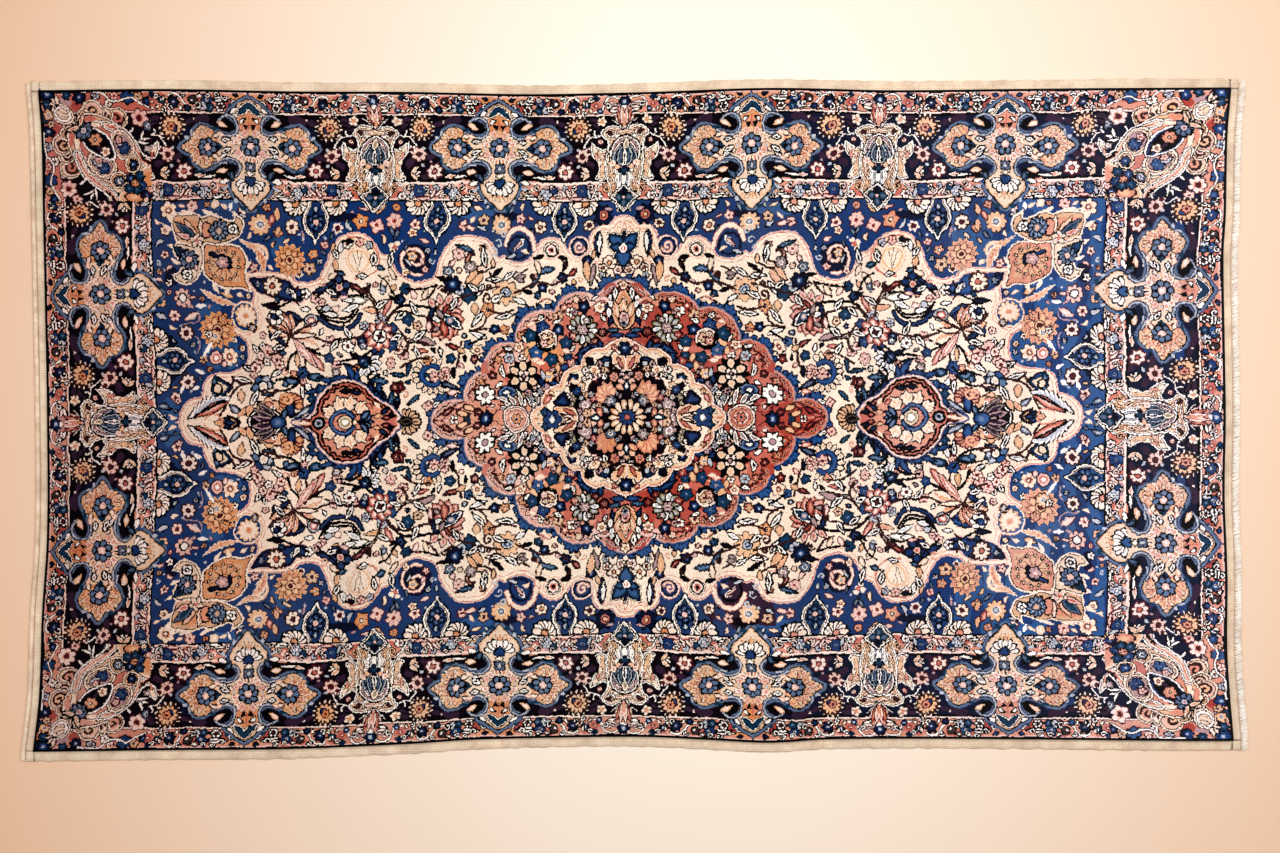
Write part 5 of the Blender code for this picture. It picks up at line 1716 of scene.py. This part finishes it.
def pileMaterial():
    material, tree, shader = newMaterial("woolPile", 0.95, 0.02, 0.6)
    cell = add(tree, "ShaderNodeUVMap", uv_map="knotCell").outputs[0]
    cell = add(tree, "ShaderNodeSeparateXYZ", [(0, cell)])

    def pick(along, values):
        # one of four by where the face is hit
        out = values[0]
        for k in range(1, 4):
            past = sums(tree, "GREATER_THAN", along, k / 4)
            out = add(tree, "ShaderNodeMix", [(0, past), (2, out), (3, values[k])],
                      data_type="FLOAT").outputs[0]
        return out

    rows = []
    for step in range(4):
        row = add(tree, "ShaderNodeAttribute", attribute_name="knotRow%d" % step)
        parts = add(tree, "ShaderNodeSeparateColor", [(0, row.outputs["Color"])])
        rows.append(pick(cell.outputs[0], list(parts.outputs) + [row.outputs["Alpha"]]))
    yarn = sums(tree, "MULTIPLY_ADD", pick(cell.outputs[1], rows), 31 / 32, 0.5 / 32)
    dye = add(tree, "ShaderNodeValToRGB", [(0, yarn)])
    dye.color_ramp.interpolation = "CONSTANT"
    stops = dye.color_ramp.elements
    while len(stops) < 32:
        stops.new(0.5)
    for i in range(32):
        stops[i].position = i / 32
        stops[i].color = linear(yarnColours[yarnNames[min(i, len(yarnNames) - 1)]])
    # each knot a little lighter or darker, dye lots in bands across the rug, and fibres
    place = add(tree, "ShaderNodeUVMap", uv_map="knotPlace").outputs[0]
    whole = add(tree, "ShaderNodeVectorMath", [(0, place)], operation="FLOOR").outputs[0]
    chance = add(tree, "ShaderNodeTexWhiteNoise", [("Vector", whole)], noise_dimensions="2D")
    perKnot = remap(tree, chance.outputs["Value"], 0, 1, pileLook["knotDark"], pileLook["knotLight"])
    objectPlace = ownPlace(tree)
    stretched = add(tree, "ShaderNodeMapping", [("Vector", objectPlace),
            ("Scale", (16.0, 1.1, 1.0))]).outputs[0]
    lots = noise(tree, stretched, 1.0, 5.0, 0.65)
    perLot = remap(tree, lots, 0.3, 0.7, pileLook["lotDark"], pileLook["lotLight"])
    wool = fibres(tree, 900.0, 0.22)
    shade = sums(tree, "MULTIPLY", sums(tree, "MULTIPLY", perKnot, perLot), wool.outputs["shade"])
    # rounded tufts, with the shade of the gaps between them
    inKnot = add(tree, "ShaderNodeVectorMath", [(0, place)], operation="FRACTION").outputs[0]
    links = [(0, inKnot), (1, (0.5, 0.5, 0.0))]
    fromMiddle = add(tree, "ShaderNodeVectorMath", links, operation="DISTANCE").outputs["Value"]
    gap = remap(tree, fromMiddle, 0.3, 0.66, 1.0, pileLook["gapShade"])
    shade = sums(tree, "MULTIPLY", shade, gap)
    parts = add(tree, "ShaderNodeSeparateColor", [(0, chance.outputs["Color"])])
    hue = remap(tree, parts.outputs[1], 0, 1, 0.49, 0.51)
    saturation = remap(tree, noise(tree, objectPlace, 5.0, 2.0), 0.3, 0.7, 0.86, 1.06)
    links = [("Hue", hue), ("Saturation", saturation), ("Value", shade), ("Color", dye.outputs[0])]
    colour = add(tree, "ShaderNodeHueSaturation", links).outputs[0]
    # the left end is darker and warmer, the right end lighter and bluer
    along = add(tree, "ShaderNodeSeparateXYZ", [(0, objectPlace)]).outputs[0]
    colour = mixed(tree, remap(tree, along, -1.0, -0.35, 1, 0), colour, pileLook["deepEnd"], "MULTIPLY")
    right = remap(tree, along, 0.1, 0.9, 0, 1)
    colour = mixed(tree, right, colour, pileLook["fadedEnd"], "MULTIPLY")
    colour = mixed(tree, right, colour, (pileLook["fadeGrey"],) * 3 + (1,), "ADD")
    tuft = sums(tree, "SUBTRACT", 1.0, sums(tree, "MULTIPLY", fromMiddle, fromMiddle))
    fluff = sums(tree, "MULTIPLY", wool.outputs["height"], 0.5)
    height = sums(tree, "ADD", sums(tree, "MULTIPLY", tuft, 0.5), fluff)
    height = sums(tree, "ADD", height, sums(tree, "MULTIPLY", chance.outputs["Value"], 0.35))
    surface(tree, shader, colour, height, 0.55, 0.9)
    return material


pileLook = {"knotDark": 0.8, "knotLight": 1.14, "lotDark": 0.88, "lotLight": 1.12, "gapShade": 0.84,
            "deepEnd": (0.8, 0.7, 0.7, 1), "fadedEnd": (1.16, 1.14, 1.24, 1), "fadeGrey": 0.012}
bandLook = {"cotton": (252, 230, 204), "shadow": (196, 152, 124), "pitch": 620.0}


def bandMaterial():
    # bare cotton ground, woven flat: fine ribs across the edge, with darker patches, partly dust and partly
    # painted shade
    material, tree, shader = newMaterial("flatWoven", 0.9, 0.12, 0.5)
    cotton = fibres(tree, 500.0, 0.5)
    place = ownPlace(tree)
    wave = waves(tree, place, bandLook["pitch"] / 6.28, 1.4, 2.0, 3.0, "X")
    rib = waves(tree, place, bandLook["pitch"] / 8.5, 1.4, 2.0, 3.0, "Y")
    weave = sums(tree, "MULTIPLY", wave, rib)
    # darker patches in the shadow colour: partly dust, partly painted shade
    dustAndShade = remap(tree, noise(tree, place, 30.0, 4.0, 0.7), 0.4, 0.75, 0.0, 0.55)
    blend = mixed(tree, dustAndShade, linear(bandLook["cotton"]), linear(bandLook["shadow"]))
    # the cotton is painted darker where the ribs sink: painted shade in the grooves of the weave
    shade = sums(tree, "MULTIPLY", cotton.outputs["shade"], remap(tree, weave, 0, 1, 0.8, 1.06))
    colour = add(tree, "ShaderNodeHueSaturation", [("Value", shade), ("Color", blend)]).outputs[0]
    fluff = sums(tree, "MULTIPLY", cotton.outputs["height"], 0.4)
    surface(tree, shader, colour, sums(tree, "ADD", sums(tree, "MULTIPLY", weave, 0.7), fluff), 0.6, 0.7)
    return material


def bindingMaterial(name, yarn, dirt):
    # white cotton yarn: two-ply twist along each stitch, a little soiled
    material, tree, shader = newMaterial(name, 0.85, 0.15, 0.5)
    cotton = fibres(tree, 700.0, 0.4)
    place = ownPlace(tree)
    twist = waves(tree, place, 190.0, 2.0, 1.0, 1.0, "DIAGONAL")
    soiled = remap(tree, noise(tree, place, 60.0, 3.0), 0.35, 0.75, 0.0, 0.8)
    blend = mixed(tree, soiled, linear(yarn), linear(dirt))
    # the yarn is painted darker where the twist sinks: painted shade in the grooves between the plies
    shade = sums(tree, "MULTIPLY", cotton.outputs["shade"], remap(tree, twist, 0, 1, 0.9, 1.04))
    colour = add(tree, "ShaderNodeHueSaturation", [("Value", shade), ("Color", blend)]).outputs[0]
    fluff = sums(tree, "MULTIPLY", cotton.outputs["height"], 0.6)
    surface(tree, shader, colour, sums(tree, "ADD", twist, fluff), 0.5, 0.4)
    return material


def makeBinding(side):
    # one overcast stitch is modelled, repeated along the end, and each repeat laid one by one
    spec = bindingShape[side]
    width, tall = spec["width"], spec["height"]
    along = reachAt(side, np.array([0.0, 1.0]))[0]
    widths = rugShape["bandWidths"]
    first = along[0] - widths["front"] + 2.5
    last = along[1] + widths["back"] - 2.5
    count = int((last - first) / spec["pitch"])
    bpy.ops.object.select_all(action="DESELECT")
    bpy.ops.mesh.primitive_uv_sphere_add(segments=8, ring_count=8, radius=1.0)
    binding = bpy.context.object
    binding.name = binding.data.name = "overcast_" + side
    bpy.ops.object.mode_set(mode="EDIT")
    bpy.ops.mesh.select_all(action="SELECT")
    bpy.ops.transform.rotate(value=math.pi / 2, orient_axis="Y", center_override=(0, 0, 0))
    stitchSize = (width / 2 * mm, spec["thread"] * 1.25 * mm, spec["thread"] * mm)
    bpy.ops.transform.resize(value=stitchSize, center_override=(0, 0, 0))
    bpy.ops.object.mode_set(mode="OBJECT")
    repeat = binding.modifiers.new("repeat", "ARRAY")
    repeat.use_relative_offset = False
    repeat.use_constant_offset = True
    repeat.constant_offset_displace = (0, spec["pitch"] * mm, 0)
    repeat.count = count
    bpy.ops.object.modifier_apply(modifier="repeat")
    mesh = binding.data
    places = read(mesh.vertices, "co", 3, np.float32).reshape(count, -1, 3) / mm
    chance = np.random.default_rng(40 + len(side))
    rough = spec["rough"]
    stitch = np.arange(count)[:, None]
    share = places[:, :, 0] / (width / 2)  # -1 at the rug, 1 outside
    across = share * (width / 2 + rough * chance.uniform(-0.5, 0.9, (count, 1)) * (share > 0))
    # the yarn arches over the edge and comes down at both sides
    arch = np.sqrt(np.maximum(1 - 0.9 * share**2, 0.05))
    local = places[:, :, 1] - stitch * spec["pitch"]
    local = local * chance.uniform(0.85, 1.12, (count, 1))
    local = local + spec["slant"] * share * chance.uniform(0.7, 1.3, (count, 1))
    local = local + rough * chance.normal(0, 0.5, (count, 1))
    y = first + spec["pitch"] * (stitch + 0.5) + local
    edgeShare = np.clip((y - along[0]) / (along[1] - along[0]), 0, 1)
    reach = reachAt(side, edgeShare)[1] + widths[side] + seamGap + width / 2 + across
    crown = tall - spec["thread"] * 1.05
    low = spec["thread"] * 0.55
    z = low + (crown - low) * arch + places[:, :, 2] + chance.uniform(-0.15, 0.1, (count, 1))
    x = spec["outward"] * reach - middleX
    placed = np.stack([x * mm, (y - middleY) * mm, np.maximum(z, 0) * mm], -1)
    mesh.vertices.foreach_set("co", placed.astype(np.float32).ravel())
    if spec["outward"] < 0:
        mesh.flip_normals()
    mesh.polygons.foreach_set("use_smooth", np.ones(len(mesh.polygons), bool))
    mesh.update()
    return binding


fibreNodes = fibreGroup()
rug = makeRug()
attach(rug, "root")
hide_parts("rug")
print("rug", len(rug.data.polygons))

cottonYarn = {"left": ((252, 232, 208), (216, 184, 156)), "right": ((255, 248, 238), (228, 208, 190))}
for side in ("left", "right"):
    binding = makeBinding(side)
    binding.data.materials.append(bindingMaterial("cotton_" + side, *cottonYarn[side]))
    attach(binding, "root")
    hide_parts("end_binding_" + side)
    print("binding", side, len(binding.data.polygons))


# room: floor, light and camera
room = {
    "floorColour": (250, 238, 224),
    # the floor's colour at its edges: painted shade, darker and warmer than the lit middle
    "floorEdge": (236, 196, 166),
    "photoWidth": 1280,
    "photoHeight": 853,
    "millimetresPerPixel": 1.75,
    "rugMiddlePixel": (634.7, 419.9),
    "cameraHeight": 3.2,
}


def makeRoom():
    bpy.ops.object.select_all(action="DESELECT")
    bpy.ops.mesh.primitive_plane_add(size=12, location=(0, 0, -0.0005))
    floor = bpy.context.object
    floor.name = "floor"
    material, tree, shader = newMaterial("paleFloor", 0.7, 0.0, 0.5)
    place = ownPlace(tree)
    # a painted pool of light: the floor is lighter round a spot near the middle and painted darker and warmer
    # towards the edges
    cloud = noise(tree, place, 1.5, 3.0)
    squashed = add(tree, "ShaderNodeMapping", [("Vector", place), ("Scale", (1.0, 0.6, 1.0))]).outputs[0]
    links = [(0, squashed), (1, (0.1, 0.06, 0.0))]
    spot = add(tree, "ShaderNodeVectorMath", links, operation="DISTANCE").outputs["Value"]
    far = sums(tree, "ADD", spot, sums(tree, "MULTIPLY", cloud, 0.06))
    warm = remap(tree, far, 0.4, 1.35, 0, 1)
    blend = mixed(tree, warm, linear(room["floorColour"]), linear(room["floorEdge"]))
    tree.links.new(blend, shader.inputs["Base Color"])
    floor.data.materials.append(material)
    lamps = (("softTop", (0.3, 0.9, 2.6), 2.6, 42.5), ("softLeft", (-2.2, -0.4, 2.4), 2.0, 11),
             ("softRight", (2.0, 0.4, 2.4), 2.0, 18))
    for name, place, size, power in lamps:
        bpy.ops.object.light_add(type="AREA", location=place)
        lamp = bpy.context.object
        lamp.name = name
        lamp.data.shape = "DISK"
        lamp.data.size = size
        lamp.data.energy = power
        lamp.data.color = (1.0, 0.985, 0.97)
        aim = -lamp.location.copy()
        lamp.rotation_euler = aim.to_track_quat("-Z", "Y").to_euler()
    world = bpy.data.worlds.new("room")
    world.use_nodes = True
    world.node_tree.nodes["Background"].inputs[0].default_value = (1.0, 0.98, 0.96, 1)
    world.node_tree.nodes["Background"].inputs[1].default_value = 0.33
    bpy.context.scene.world = world


def makeCamera():
    # straight above, framed as the photo is
    shift = room["millimetresPerPixel"] * mm
    x = (room["photoWidth"] / 2 - room["rugMiddlePixel"][0]) * shift
    y = -(room["photoHeight"] / 2 - room["rugMiddlePixel"][1]) * shift
    camera = bpy.data.cameras.new("above")
    camera.sensor_width = 36
    camera.sensor_fit = "HORIZONTAL"
    camera.lens = 36 * (room["cameraHeight"] - rugShape["pileHeight"] * mm) / (room["photoWidth"] * shift)
    camera.clip_start, camera.clip_end = 0.05, 50
    above = bpy.data.objects.new("above", camera)
    above.location = (x, y, room["cameraHeight"])
    bpy.context.scene.collection.objects.link(above)
    bpy.context.scene.camera = above


makeRoom()
makeCamera()
bpy.context.scene.view_settings.view_transform = "Standard"
bpy.context.scene.view_settings.look = "Medium High Contrast"
print("scene made")
